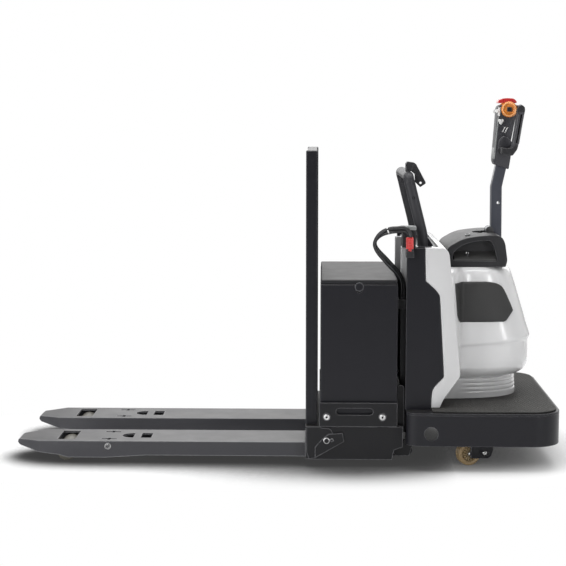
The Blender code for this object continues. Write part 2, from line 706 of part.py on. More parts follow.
def make_chassis():
    """Bulkhead, base plate, caster pads, link lugs and cylinder shelf, welded together."""
    half = UNIT_WIDTH / 2 - 0.010
    bulkhead = box((UNIT_X, -half, BULKHEAD_BOTTOM), (UNIT_X + PLATE_STEEL, half, 0.895))
    base = plate(rectangle((UNIT_X, -half), (UNIT_X + 0.560, half)),
                 BASE_TOP - BASE_STEEL, BASE_TOP, "XY",
                 [circle((DRIVE_X, 0), TURNTABLE_RADIUS - 0.020, 24)])
    join(bulkhead, base)
    for sign in (-1, 1):
        y = sign * CASTER_Y
        join(bulkhead, cylinder((CASTER_X, y, CASTER_HEAD), (CASTER_X, y, BASE_TOP - 0.004),
                                0.050, 16))
        add_link_lug(bulkhead, sign)
    shelf_z = BULKHEAD_BOTTOM
    join(bulkhead, box((UNIT_X - GUIDE_SPACE + 0.004, -0.030, shelf_z),
                       (UNIT_X + 0.004, 0.030, shelf_z + 0.010)))
    finish(bulkhead, "chassis_frame", "black_paint")


def add_link_lug(chassis, sign):
    """The clevis at the foot of the bulkhead that holds a lift link's tail."""
    outline = [(UNIT_X + 0.009, LUG_Z - 0.022), (UNIT_X + 0.030, 0.115), (UNIT_X + 0.030, 0.160),
               (UNIT_X, 0.160), (UNIT_X - 0.010, 0.105), (LUG_X - 0.032, 0.086)]
    outline += arc((LUG_X - 0.014, LUG_Z - 0.002), 0.022, 180, 270, 4)
    for offset in (-0.0135, 0.0135):
        y = sign * LINK_Y + offset
        join(chassis, plate(outline, y - 0.004, y + 0.004))
    y = sign * LINK_Y
    join(chassis, cylinder((LUG_X, y - 0.0155, LUG_Z), (LUG_X, y + 0.0155, LUG_Z), LUG_PIN, 16))


def make_guide_rail(name, side):
    """An upright channel, open towards the battery, for the carriage's blocks."""
    y, half = side * RAIL_Y, RAIL_WIDTH / 2
    front, back = UNIT_X - 0.028, UNIT_X - CLEARANCE
    web = back - RAIL_STEEL + CLEARANCE
    outline = [(front, y - half), (back, y - half), (back, y + half), (front, y + half),
               (front, y + half - RAIL_STEEL), (web, y + half - RAIL_STEEL),
               (web, y - half + RAIL_STEEL), (front, y - half + RAIL_STEEL)]
    finish(plate(outline, 0.120, 0.905, "XY"), name, "bare_steel")


def make_lift_cylinder():
    """The open-topped ram under the carriage's beam."""
    top, foot = BEAM_BOTTOM - 0.010, BULKHEAD_BOTTOM + 0.010 + CLEARANCE
    bore = LIFT_ROD_RADIUS + CLEARANCE
    profile = [(0, foot + 0.012), (bore, foot + 0.012), (bore, top), (0.0190, top),
               (0.0190, top - 0.016), (0.0175, top - 0.018), (0.0175, foot), (0, foot)]
    finish(turned(profile, Matrix.Translation((CYLINDER_X, 0, 0)), 20), "lift_cylinder",
           "black_steel")


SIDE_SEAM = [(0.093, 0.245), (0.093, 0.289), (0.098, 0.332), (0.144, 0.380), (0.123, 0.717),
             (0.108, 0.738), (0.065, 0.777), (0.062, UNIT_TOP)]


def make_side_plate(name, side):
    """The flat side of the unit; its rear edge is the cover's front seam."""
    outline = [(-0.012, 0.245), *SIDE_SEAM, (-0.012, UNIT_TOP)]
    outer = UNIT_WIDTH / 2
    low, high = sorted((side * (outer - PLATE_STEEL), side * outer))
    finish(plate(from_unit(outline), low, high), name, "black_paint")


def platform_outline(inset, front):
    """Top view of the platform: wide, with round rear corners and a narrowing front."""
    half = PLATFORM_WIDTH / 2 - inset
    rear = PLATFORM_REAR - inset
    radius = CORNER_RADIUS - inset
    edge = [(front, half - 0.040), (front + 0.043, half - 0.008), (UNIT_X + 0.210, half)]
    edge += arc((rear - radius, half - radius), radius, 90, 0, 9)
    return edge


def make_skirt():
    """The bumper wall under the platform's edge, with a round tie-down hole each side."""
    front = UNIT_X - 0.009
    outer, inner = platform_outline(0, front), platform_outline(SKIRT_WALL, front)
    half_band = outer + [(x, -y) for x, y in reversed(outer)]
    half_band += [(x, -y) for x, y in inner] + list(reversed(inner))
    skirt = plate(half_band, SKIRT_BOTTOM, BASE_TOP, "XY")
    hole_x, hole_z = UNIT_X + 0.0906, 0.1595
    cut(skirt, cylinder((hole_x, -0.6, hole_z), (hole_x, 0.6, hole_z), 0.028, 20))
    finish(skirt, "platform_skirt", "black_paint")


def make_deck():
    front, notch = UNIT_X - 0.009, UNIT_X + PLATE_STEEL + 0.001
    half = UNIT_WIDTH / 2 - 0.009
    edge = platform_outline(0, front)
    outline = edge + [(x, -y) for x, y in reversed(edge)]
    outline += [(front, -half), (notch, -half), (notch, half), (front, half)]
    opening = circle((DRIVE_X, 0), DRIVE_OPENING, 24)
    deck = plate(outline, BASE_TOP + CLEARANCE, DECK_TOP - CLEARANCE, "XY", [opening])
    finish(deck, "platform_deck", "black_paint")
    edge = platform_outline(0.012, UNIT_X + 0.095)
    edge = [(UNIT_X + 0.095, PLATFORM_WIDTH / 2 - 0.022)] + edge[2:]
    outline = edge + [(x, -y) for x, y in reversed(edge)]
    mat = plate(outline, DECK_TOP, PLATFORM_TOP, "XY", [opening])
    finish(mat, "platform_mat", "rubber")


def make_deck_lid():
    """The plate that closes the top of the unit between its sides."""
    half = UNIT_WIDTH / 2 - PLATE_STEEL - 0.001
    lid = box((UNIT_X, -half, 0.895 + CLEARANCE), (UNIT_X + 0.125, half, DECK_LID_TOP))
    finish(lid, "deck_lid", "black_paint")


# Moulded cover, knee pads and console

def body_section(z):
    """Front station, nose station, half width and bluntness of the rear body at a height."""
    levels = [
        (0.240, 0.172, 0.484, 0.198, 2.2), (0.262, 0.172, 0.489, 0.198, 2.2),
        (0.340, 0.190, 0.483, 0.200, 2.4), (0.352, 0.205, 0.500, 0.222, 2.7),
        (0.368, 0.225, 0.517, 0.238, 3.0), (0.384, 0.233, 0.525, 0.245, 3.2),
        (0.456, 0.233, 0.537, 0.250, 3.5), (0.490, 0.233, 0.536, 0.250, 3.5),
        (0.596, 0.233, 0.512, 0.249, 3.4), (0.730, 0.233, 0.471, 0.246, 3.2),
        (0.780, 0.233, 0.455, 0.243, 3.1), (0.798, 0.233, 0.447, 0.237, 3.0),
        (0.809, 0.233, 0.436, 0.227, 3.0), (COVER_TOP, 0.233, 0.422, 0.212, 3.0)]
    for low, high in zip(levels, levels[1:]):
        if z <= high[0]:
            t = (z - low[0]) / (high[0] - low[0])
            return [a + (b - a) * t for a, b in zip(low[1:], high[1:])]
    return list(levels[-1][1:])


def body_plan(z, offset, groove):
    """Outline of the rear body at one height, out from the wing and round the nose."""
    start, nose, half, blunt = body_section(z)
    half += offset
    nose += offset
    side = [(0.080, half + 0.075), (start - 0.035, half + 0.075)]
    steps = 7
    for i in range(steps + 1):
        angle = math.pi / 2 * (i / steps) ** 0.8
        x = start + (nose - start) * math.sin(angle) ** (2 / blunt)
        y = half * max(math.cos(angle), 0) ** (2 / blunt)
        depth = groove * min(max((x - 0.262) / 0.02, 0), 1)
        side.append((x - depth * math.sin(angle), max(y - depth * math.cos(angle), 0)))
    return [(UNIT_X + x, y) for x, y in side]


def loft(rows):
    """A closed solid through level outlines that are symmetric about the middle plane."""
    bm = bmesh.new()
    rings = []
    for z, half_ring in rows:
        loop = half_ring + [(x, -y) for x, y in reversed(half_ring[:-1])]
        rings.append([bm.verts.new((x, y, z)) for x, y in loop])
    for low, high in zip(rings, rings[1:]):
        count = len(low)
        for i in range(count):
            j = (i + 1) % count
            bm.faces.new((low[i], low[j], high[j]))
            bm.faces.new((low[i], high[j], high[i]))
    bm.faces.new(rings[0])
    bm.faces.new(rings[-1])
    bmesh.ops.recalc_face_normals(bm, faces=bm.faces)
    obj = from_bmesh("loft", bm)
    shade_round(obj)
    return obj


def rear_body(offset=0.0, ribs=False):
    levels = [COVER_FOOT, 0.262, 0.340, 0.352, 0.368, 0.384, 0.456, 0.490, 0.596, 0.730, 0.780, 0.798,
              0.809, COVER_TOP]
    grooves = {z: 0.0 for z in levels}
    if ribs:
        for i in range(4):
            centre = 0.281 + 0.018 * i
            grooves.update({centre - 0.005: 0.0, centre - 0.003: 0.005, centre + 0.003: 0.005,
                            centre + 0.005: 0.0})
    return loft([(z, body_plan(z, offset, grooves[z])) for z in sorted(grooves)])


def wing_outline(inset=0.0):
    """Side view of the cover's wings: the seam in front, the raked rear edge behind."""
    rear = [(0.130, COVER_FOOT), (0.142, 0.283), (0.213, 0.384), (0.162, 0.883), (0.155, 0.900),
            (0.141, UNIT_TOP)]
    if inset:
        rear = [(x - inset, min(z, UNIT_TOP - inset)) for x, z in rear]
        rear[0] = (rear[0][0], 0.20)
        return from_unit([(-0.1, 0.20), *rear, (-0.1, UNIT_TOP - inset)])
    seam = [(x + 0.0015, max(z, COVER_FOOT)) for x, z in SIDE_SEAM]
    return from_unit(rear[:] + list(reversed(seam)))


def make_cover():
    """The moulded cover: full-width wings, a blunt rear body and a ribbed neck, as a shell."""
    outer = UNIT_WIDTH / 2 - 0.002
    cover = bevel(plate(wing_outline(), -outer, outer), 0.006, 2)
    join(cover, rear_body(ribs=True))
    inner = outer - COVER_WALL
    hollow = plate(wing_outline(COVER_WALL), -inner, inner)
    levels = [0.20, 0.262, 0.340, 0.368, 0.384, 0.456, 0.490, 0.596, 0.730, 0.780,
              COVER_TOP - COVER_WALL]
    body_hollow = loft([(z, body_plan(z, -COVER_WALL - 0.004, 0)) for z in levels])
    cut(cover, hollow, body_hollow)
    cut(cover, box((UNIT_X, -GRAB_Y - 0.050, 0.880), (UNIT_X + 0.122, GRAB_Y + 0.050, 1.0)))
    finish(cover, "motor_cover", "white_cover")


def make_knee_pad(name, side):
    """A soft pad that follows the cover's side."""
    pad = rear_body(0.007)
    outline = from_unit([(0.192, 0.757), (0.362, 0.752), (0.393, 0.739), (0.415, 0.707),
                         (0.448, 0.632), (0.412, 0.587), (0.221, 0.589), (0.205, 0.620)])
    low, high = sorted((side * 0.05, side * 0.5))
    common(pad, plate(outline, low, high))
    cut(pad, rear_body(2 * CLEARANCE))
    finish(pad, name, "dark_plastic")


CONSOLE_HALF = 0.212


def make_console():
    """The instrument dome with a recessed pocket each side and a well for the tiller."""
    arch = [(0.180, COVER_TOP), (0.168, 0.850), (0.163, 0.884), (0.178, 0.902), (0.226, 0.929),
            (0.257, 0.938), (0.300, 0.944), (0.350, 0.948), (0.376, 0.948), (0.398, 0.938),
            (0.410, 0.912), (0.420, 0.840), (0.412, COVER_TOP)]
    arch = [(x, z + CLEARANCE) for x, z in arch]
    dome = bevel(plate(from_unit(arch), -CONSOLE_HALF, CONSOLE_HALF), 0.016, 2, 50)
    pocket = [(0.196, 0.846), (0.196, 0.878), (0.222, 0.902), (0.262, 0.917), (0.300, 0.923),
              (0.350, 0.924), (0.366, 0.890), (0.376, 0.842)]
    for sign in (-1, 1):
        low, high = sorted((sign * (CONSOLE_HALF - 0.045), sign * (CONSOLE_HALF + 0.02)))
        cut(dome, plate(from_unit(pocket), low, high))
    cut(dome, cylinder((TILLER_X, 0, TURRET_Z - CLEARANCE), (TILLER_X, 0, 1.0), WELL_RADIUS, 24))
    cut(dome, cylinder((TILLER_X, 0, COLUMN_FOOT - CLEARANCE), (TILLER_X, 0, TURRET_Z + 0.01),
                       COLUMN_RADIUS + COLUMN_PLAY, 24))
    cut(dome, gauge_block(CLEARANCE))
    key_x, key_z = KEY_PLACE
    face = CONSOLE_HALF - 0.045
    cut(dome, cylinder((key_x, -face - 0.01, key_z), (key_x, -face + 0.020, key_z),
                       0.008 + CLEARANCE, 16))
    finish(dome, "console", "dark_plastic")


KEY_PLACE = (UNIT_X + 0.255, 0.868)


def gauge_block(play=0.0):
    """The charge gauge, let into the top of the dome."""
    obj = box((-0.016 - play, -0.026 - play, -0.006 - play), (0.016 + play, 0.026 + play, 0.003))
    obj.matrix_world = (Matrix.Translation((UNIT_X + 0.262, -0.100, 0.9395))
                        @ Matrix.Rotation(math.radians(-10), 4, "Y"))
    return obj


def make_key():
    key_x, key_z = KEY_PLACE
    face = -(CONSOLE_HALF - 0.045)
    key = cylinder((key_x, face + 0.019, key_z), (key_x, face - 0.006, key_z), 0.008, 16)
    join(key, box((key_x - 0.0035, face - 0.028, key_z - 0.010),
                  (key_x + 0.0035, face - 0.004, key_z + 0.010)))
    finish(key, "key_switch", "bare_steel")


# Grab bar, connector and cables

def make_grab_bar():
    """The bent bar in front of the operator, with its feet and gussets."""
    foot = DECK_LID_TOP + CLEARANCE
    leg = [(0.0585, foot), (0.057, 0.950), (0.048, 0.993), (0.025, 1.083), (0.0065, 1.157),
           (-0.0005, 1.184)]
    top = [(GRAB_TOP_X, GRAB_Y - 0.030, GRAB_TOP)]
    half = [(x, GRAB_Y, z) for x, z in leg] + top
    route = half + [(x, -y, z) for x, y, z in reversed(half)]
    points = smooth([((UNIT_X + x) / GRAB_OVAL, y, z) for x, y, z in route], 2)
    bar = tube(points, GRAB_RADIUS, 2, Matrix.Diagonal((GRAB_OVAL, 1, 1, 1)))
    for sign in (-1, 1):
        y = sign * GRAB_Y
        x = UNIT_X + 0.0585
        join(bar, box((x - 0.032, y - 0.032, foot), (x + 0.050, y + 0.032, foot + 0.006)))
        gusset = [(x + 0.010, foot + 0.003), (x + 0.048, foot + 0.003), (x + 0.014, 0.955),
                  (x + 0.008, 0.955)]
        join(bar, plate(gusset, y - 0.003, y + 0.003))
    finish(bar, "grab_bar", "black_steel")


def make_accessory_clamp():
    """The block and tilted plate on top of the bar that takes an accessory."""
    top = GRAB_TOP + GRAB_RADIUS + CLEARANCE
    block = [(-0.0113, top), (0.017, top), (0.025, top + 0.009), (0.030, top + 0.031),
             (0.022, top + 0.036), (-0.004, top + 0.040), (-0.0113, top + 0.032)]
    clamp = plate(from_unit(block), -0.262, -0.212)
    ear = [(0.010, top + 0.0015), (0.0245, 1.205), (0.0264, 1.1727), (0.0487, 1.151),
           (0.0710, 1.166), (0.0705, 1.173), (0.031, top + 0.0295), (0.020, top + 0.0295)]
    hole = circle((UNIT_X + 0.0498, 1.1688), 0.005, 10)
    join(clamp, plate(from_unit(ear), -0.2625, -0.2545, holes=[hole]))
    finish(clamp, "accessory_clamp", "dark_plastic")


CABLE_RADIUS = 0.0075
CABLE_APART = 0.0156
CABLE_END_Y = -0.311
CABLE_DROP_X = -0.0222
CABLE_FOOT = 0.7003
PLUG_HALF = 0.016
PLUG_Y = -UNIT_WIDTH / 2 - CLEARANCE - PLUG_HALF
PLUG_X = -0.00175
PLUG_TOP = 0.9575
PLUG_BEND = 0.029
END_Y = CABLE_END_Y - PLUG_Y
# The pair's middle line, from the bulkhead and the plug, and how far the pair has turned
CABLE_BOW = [
    (-0.0520, 0.0010, 0.9868, 24), (-0.0760, 0.0040, 0.9845, 18), (-0.0990, 0.0100, 0.9775, 30),
    (-0.1190, 0.0180, 0.9655, 55), (-0.1340, 0.0280, 0.9480, 78), (-0.1410, 0.0390, 0.9300, 85),
    (-0.1375, 0.0510, 0.9110, 76), (-0.1235, 0.0630, 0.8890, 60), (-0.1030, 0.0740, 0.8660, 48),
    (-0.0820, 0.0840, 0.8420, 42), (-0.0625, 0.0920, 0.8215, 46), (-0.0430, 0.0990, 0.8000, 54),
    (-0.0285, 0.1040, 0.7750, 58), (-0.0228, END_Y, 0.7450, 50),
    (CABLE_DROP_X, END_Y, 0.7150, 45), (CABLE_DROP_X, END_Y, CABLE_FOOT, 45)]


def cable_route(index):
    """One lead's line beside its twin: up out of the plug, in a bow, and down behind."""
    side = (index - 0.5) * CABLE_APART
    exit_z = PLUG_TOP + CLEARANCE
    bend = arc((PLUG_X - PLUG_BEND, exit_z + 0.002), PLUG_BEND, 0, 90, 6)
    line = [(PLUG_X, 0.0, exit_z, 75)]
    line += [(x, 0.0, z, 75 - 9 * i) for i, (x, z) in enumerate(bend)] + CABLE_BOW
    route = []
    for i, (x, y, z, turn) in enumerate(line):
        before, after = line[max(i - 1, 0)], line[min(i + 1, len(line) - 1)]
        along = (Vector(after[:3]) - Vector(before[:3])).normalized()
        if i < 2:
            along = Vector((0, 0, 1))
        across = along.cross(Vector((0, 1, 0))).normalized()
        lift = across.cross(along)
        angle = math.radians(turn)
        offset = across * math.cos(angle) + lift * math.sin(angle)
        route.append(Vector((UNIT_X + x, PLUG_Y + y, z)) + offset * side)
    return route


def make_connector():
    """Holder, truck half and lead half of the battery connector."""
    outer = -UNIT_WIDTH / 2
    holder = box((UNIT_X - 0.031, outer, UNIT_TOP + CLEARANCE), (UNIT_X + 0.024, -0.348, 0.987),
                 0.003)
    join(holder, box((UNIT_X + 0.006, -0.385, DECK_LID_TOP + CLEARANCE),
                     (UNIT_X + 0.020, -0.354, 0.930)))
    join(holder, box((UNIT_X - 0.047, outer + 0.001, 0.984), (UNIT_X + 0.026, -0.346, 0.999)))
    finish(holder, "connector_holder", "dark_plastic")
    low, high = PLUG_Y - PLUG_HALF, PLUG_Y + PLUG_HALF
    seam = 0.900
    x = UNIT_X + PLUG_X
    socket = box((x - 0.0145, low + 0.002, 0.874), (x + 0.0180, high, seam - CLEARANCE), 0.002)
    finish(socket, "connector_socket", "dark_plastic")
    plug = box((x - 0.0158, low, seam), (x + 0.0158, high, PLUG_TOP), 0.003)
    finish(plug, "connector_plug", "red")


def make_cable(name, index):
    finish(tube(cable_route(index), CABLE_RADIUS, 2), name, "rubber")


# Drive, casters and hydraulics

def make_hydraulics():
    """The oil tank with its pump motor, behind the bulkhead."""
    front, floor = UNIT_X + 0.016, DECK_TOP
    tank = box((front, -0.290, floor), (front + 0.074, -0.060, 0.560), 0.006)
    join(tank, cylinder((front + 0.037, -0.120, 0.555), (front + 0.037, -0.120, 0.580), 0.020, 12))
    pump = box((front, 0.050, floor), (front + 0.074, 0.170, 0.330), 0.004)
    join(pump, cylinder((front + 0.037, 0.110, 0.325), (front + 0.037, 0.110, 0.520), 0.036, 20))
    join(pump, box((front + 0.020, -0.070, 0.270), (front + 0.060, 0.060, 0.310)))
    join(tank, pump)
    finish(tank, "hydraulic_unit", "black_steel")


def make_drive():
    """Turntable, gearbox leg and axle, then the motor and the wheel on them."""
    side = DRIVE_WHEEL_WIDTH / 2 + 0.003
    z = DRIVE_WHEEL_RADIUS
    floor = BASE_TOP + CLEARANCE
    unit = cylinder((DRIVE_X, 0, floor), (DRIVE_X, 0, floor + 0.020), TURNTABLE_RADIUS, 24)
    join(unit, cylinder((DRIVE_X, 0, floor + 0.015), (DRIVE_X, 0, 0.300), 0.105, 16))
    join(unit, box((DRIVE_X - 0.050, side, z - 0.010), (DRIVE_X + 0.050, side + 0.055, 0.245),
                   0.006))
    join(unit, cylinder((DRIVE_X, side, z), (DRIVE_X, side + 0.055, z), 0.056, 16))
    join(unit, cylinder((DRIVE_X, -side - 0.010, z), (DRIVE_X, side + 0.010, z), 0.020, 16))
    finish(unit, "drive_unit", "black_steel")
    motor_floor = 0.300 + CLEARANCE
    profile = [(0, 0.570), (0.070, 0.570), (0.075, 0.560), (0.085, 0.555), (0.085, 0.330),
               (0.092, 0.325), (0.092, motor_floor), (0, motor_floor)]
    motor = turned(profile, Matrix.Translation((DRIVE_X, 0, 0)), 16)
    finish(motor, "drive_motor", "black_steel")
    profile = wheel_profile(DRIVE_WHEEL_RADIUS, DRIVE_WHEEL_WIDTH, 0.020 + CLEARANCE, 0.006)
    wheel = turned(profile, along_y(DRIVE_X, 0, z), 24)
    finish(wheel, "drive_wheel", "rubber")


def caster_frame(side):
    return (Matrix.Translation((CASTER_X, side * CASTER_Y, 0))
            @ Matrix.Rotation(CASTER_YAW, 4, "Z"))


def make_caster(name, wheel_name, side):
    """A swivel head with two swept legs, and its wheel."""
    frame = caster_frame(side)
    head_top = CASTER_HEAD - CLEARANCE
    gap = CASTER_WIDTH / 2 + 0.002
    outline = [(-0.038, head_top - 0.010), (0.040, head_top - 0.010), (0.046, 0.120),
               (0.056, 0.062)]
    outline += arc((0.030, 0.046), 0.020, 0, -90, 4)
    outline += arc((-CASTER_TRAIL, CASTER_RADIUS), 0.018, 270, 100, 6)
    outline += [(-0.040, 0.120)]
    fork = cylinder((0, 0, head_top - 0.014), (0, 0, head_top), 0.048, 16)
    pieces = [plate(outline, gap, gap + 0.006), plate(outline, -gap - 0.006, -gap),
              cylinder((-CASTER_TRAIL, -gap - 0.010, CASTER_RADIUS),
                       (-CASTER_TRAIL, gap + 0.010, CASTER_RADIUS), 0.007, 12),
              cylinder((0.030, -gap - 0.010, 0.046), (0.030, gap + 0.010, 0.046), 0.008, 6)]
    for piece in (fork, *pieces):
        piece.matrix_world = frame @ piece.matrix_world
    join(fork, *pieces)
    finish(fork, name, "black_steel")
    profile = wheel_profile(CASTER_RADIUS, CASTER_WIDTH, 0.007 + CLEARANCE, 0.005)
    lie = Matrix.Translation((-CASTER_TRAIL, 0, CASTER_RADIUS)) @ Matrix.Rotation(
        math.radians(-90), 4, "X")
    finish(turned(profile, frame @ lie, 24), wheel_name, "tan_tread")


# Tiller

def make_turret():
    """The steering turret: disc, column and two ears round the tilt pin."""
    turret = cylinder((TILLER_X, 0, TURRET_Z), (TILLER_X, 0, TURRET_Z + 0.014), 0.060, 24)
    join(turret, cylinder((TILLER_X, 0, COLUMN_FOOT), (TILLER_X, 0, TURRET_Z + 0.002),
                          COLUMN_RADIUS, 16))
    ear = [(TILLER_X - 0.042, TURRET_Z + 0.010), (TILLER_X + 0.030, TURRET_Z + 0.010),
           (TILLER_X + 0.012, 0.930)]
    ear += arc((TILT_X, TILT_Z), 0.017, -10, 190, 8)
    for sign in (-1, 1):
        low, high = sorted((sign * (POST_HALF + 0.0015), sign * (POST_HALF + 0.0085)))
        join(turret, plate(ear, low, high))
    reach = POST_HALF + 0.011
    join(turret, cylinder((TILT_X, -reach, TILT_Z), (TILT_X, reach, TILT_Z), TILT_PIN, 16))
    finish(turret, "tiller_turret", "bare_steel")


def from_tiller(points):
    return [(TILLER_X + x, z) for x, z in points]


def make_post():
    """The steering arm: straight up from its knuckle, then leaning to the operator."""
    outline = from_tiller([(-0.008, 0.914), (0.038, 0.914), (0.036, 1.141), (0.052, 1.215),
                           (0.066, 1.290), (0.020, 1.290), (0.002, 1.205), (-0.010, 1.141)])
    post = bevel(plate(outline, -POST_HALF, POST_HALF), 0.004, 1, 40)
    knuckle = plate(circle((TILT_X, TILT_Z), 0.0165, 16), -POST_HALF, POST_HALF)
    join(post, knuckle)
    reach = POST_HALF + 0.01
    cut(post, cylinder((TILT_X, -reach, TILT_Z), (TILT_X, reach, TILT_Z),
                       TILT_PIN + CLEARANCE, 16))
    hole_x, hole_z = TILLER_X + 0.021, 1.073
    cut(post, cylinder((hole_x, -reach, hole_z), (hole_x, reach, hole_z), 0.0065, 12))
    finish(post, "tiller_post", "black_steel")


BUTTONS = {
    "horn_button": (0.024, -0.099, 0.014, -1),
    "lift_button": (0.008, -0.056, 0.008, -1),
    "lower_button": (0.008, -0.056, 0.008, 1),
}


def button_place(name):
    x, drop, radius, sign = BUTTONS[name]
    return TILLER_X + x, TILLER_HEIGHT + drop, radius, sign


GRIP_Y = 0.130
GRIP_HALF = 0.0125
GRIP_PLAY = 0.0005


def make_hand_loop(head, sign):
    """A hand loop: an arm over the thumb wheel, a flat grip and a broad foot back to the head."""
    arm = [(0.080, 0.018, 1.472), (0.1015, 0.040, 1.4795), (0.1020, 0.066, 1.4815),
           (0.1000, 0.100, 1.4810), (0.0970, GRIP_Y, 1.4740)]
    join(head, tube([(TILLER_X + x, sign * y, z) for x, y, z in arm], 0.0100, 1))
    grip = from_tiller([(0.0560, 1.300), (0.0850, 1.306), (0.1130, 1.466), (0.1120, 1.479),
                        (0.1010, 1.489), (0.0880, 1.486), (0.0790, 1.470), (0.0730, 1.411)])
    low, high = sorted((sign * (GRIP_Y - GRIP_HALF), sign * (GRIP_Y + GRIP_HALF)))
    join(head, bevel(plate(grip, low, high), 0.005, 1, 40))
    foot = from_tiller([(0.0185, 1.285), (0.0635, 1.276), (0.0870, 1.309), (0.0800, 1.332),
                        (0.0580, 1.306), (0.0180, 1.312)])
    low, high = sorted((sign * (HEAD_HALF - 0.010), sign * (GRIP_Y + GRIP_HALF + GRIP_PLAY)))
    join(head, bevel(plate(foot, low, high), 0.004, 1, 40))


def make_head():
    """The control head: a housing round the arm's top, with a hand loop each side."""
    top = TILLER_HEIGHT - 0.028
    body = from_tiller([(-0.004, 1.237), (0.061, 1.216), (0.072, 1.278), (0.070, 1.330),
                        (0.084, 1.440), (0.090, top - 0.010), (0.084, top), (0.012, top),
                        (0.000, top - 0.012), (-0.015, 1.253)])
    head = bevel(plate(body, -HEAD_HALF, HEAD_HALF), 0.005, 1, 40)
    for sign in (-1, 1):
        make_hand_loop(head, sign)
    post_room = from_tiller([(-0.0003, 1.19), (0.060, 1.19), (0.0665, 1.2905), (0.0195, 1.2905),
                             (0.0015, 1.205)])
    cut(head, plate(post_room, -POST_HALF - CLEARANCE, POST_HALF + CLEARANCE))
    reach = HEAD_HALF + 0.01
    cut(head, cylinder((THROTTLE_X, -reach, THROTTLE_Z), (THROTTLE_X, reach, THROTTLE_Z),
                       0.007 + CLEARANCE, 16))
    for name in BUTTONS:
        x, z, radius, sign = button_place(name)
        cut(head, cylinder((x, sign * (HEAD_HALF - 0.010), z), (x, sign * reach, z),
                           radius + CLEARANCE, 16))
    stem_x = TILLER_X + 0.050
    cut(head, cylinder((stem_x, 0, top - 0.018), (stem_x, 0, top + 0.01), 0.007 + CLEARANCE, 16))
    finish(head, "tiller_head", "dark_plastic")


def make_throttle():
    """The thumb wheels each side of the head on one shaft."""
    reach = HEAD_HALF + 0.022
    throttle = cylinder((THROTTLE_X, -reach, THROTTLE_Z), (THROTTLE_X, reach, THROTTLE_Z),
                        0.007, 16)
    for sign in (-1, 1):
        inner, outer = sign * (HEAD_HALF + CLEARANCE * 2), sign * (HEAD_HALF + 0.020)
        join(throttle, cylinder((THROTTLE_X, inner, THROTTLE_Z), (THROTTLE_X, outer, THROTTLE_Z),
                                0.034, 24))
        low, high = sorted((outer - sign * 0.002, outer + sign * 0.004))
        join(throttle, box((THROTTLE_X - 0.010, low, THROTTLE_Z - 0.010),
                           (THROTTLE_X + 0.010, high, THROTTLE_Z + 0.010)))
    finish(throttle, "throttle", "orange")


def make_buttons():
    top = TILLER_HEIGHT - 0.028
    red = box((TILLER_X + 0.008, -0.036, top + 0.0065), (TILLER_X + 0.092, 0.036, TILLER_HEIGHT),
              0.006)
    stem_x = TILLER_X + 0.050
    join(red, cylinder((stem_x, 0, top - 0.006), (stem_x, 0, top + 0.012), 0.007, 16))
    finish(red, "reverse_button", "red")
    for name in BUTTONS:
        x, z, radius, sign = button_place(name)
        finish(cylinder((x, sign * (HEAD_HALF - 0.006), z), (x, sign * (HEAD_HALF + 0.004), z),
                        radius, 16), name, "light_plastic")


def build():
    for side_name, side in SIDES.items():
        make_fork(f"fork_{side_name}", side)
        make_yoke(f"wheel_yoke_{side_name}", side)
        make_load_wheel(f"load_wheel_{side_name}", side)
        make_pull_rod(f"pull_rod_{side_name}", side)
        make_lift_link(f"lift_link_{side_name}", side)
        make_heel_bracket(f"heel_bracket_{side_name}", side)
        make_side_gate(f"side_gate_{side_name}", side)
        make_guide_rail(f"guide_rail_{side_name}", side)
        make_side_plate(f"side_plate_{side_name}", side)
        make_knee_pad(f"knee_pad_{side_name}", side)
        make_caster(f"caster_fork_{side_name}", f"caster_wheel_{side_name}", side)
    make_carriage_frame()
    make_backrest()
    make_battery()
    make_lift_rod()
    make_chassis()
    make_lift_cylinder()
    make_skirt()
    make_deck()
    make_deck_lid()
    make_cover()
    make_console()
    finish(gauge_block(), "charge_gauge", "light_plastic")
    make_key()
    make_grab_bar()
    make_accessory_clamp()
    make_connector()
    for index, name in enumerate(("battery_cable_positive", "battery_cable_negative")):
        make_cable(name, index)
    make_hydraulics()
    make_drive()
    make_turret()
    make_post()
    make_head()
    make_throttle()
    make_buttons()


build()
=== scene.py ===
"""Looks of the rider pallet jack: finishes, fittings and the moulded pieces around its frame."""
import json
import math
from contextlib import contextmanager

import bmesh
import bpy
from mathutils import Matrix, Vector


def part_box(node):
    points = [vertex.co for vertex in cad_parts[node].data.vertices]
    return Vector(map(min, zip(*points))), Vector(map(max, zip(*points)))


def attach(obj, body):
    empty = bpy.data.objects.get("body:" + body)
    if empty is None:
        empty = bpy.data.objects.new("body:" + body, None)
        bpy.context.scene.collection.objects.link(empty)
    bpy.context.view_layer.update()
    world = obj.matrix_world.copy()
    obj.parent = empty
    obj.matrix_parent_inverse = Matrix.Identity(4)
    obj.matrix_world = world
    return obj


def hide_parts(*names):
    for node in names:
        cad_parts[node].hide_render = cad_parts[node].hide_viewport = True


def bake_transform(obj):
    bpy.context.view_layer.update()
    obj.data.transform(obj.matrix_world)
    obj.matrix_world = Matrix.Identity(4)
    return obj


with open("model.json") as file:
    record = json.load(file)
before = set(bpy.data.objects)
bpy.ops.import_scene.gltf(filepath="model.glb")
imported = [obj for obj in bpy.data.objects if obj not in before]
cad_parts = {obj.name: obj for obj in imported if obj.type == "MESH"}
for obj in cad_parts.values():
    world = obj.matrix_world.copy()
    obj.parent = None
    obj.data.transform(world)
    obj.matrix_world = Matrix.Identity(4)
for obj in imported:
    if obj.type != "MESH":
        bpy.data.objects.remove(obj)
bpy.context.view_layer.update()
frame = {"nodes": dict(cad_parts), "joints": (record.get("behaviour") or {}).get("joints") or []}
NODES = frame["nodes"]


def middle_of(node):
    low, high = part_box(node)
    return (low + high) / 2


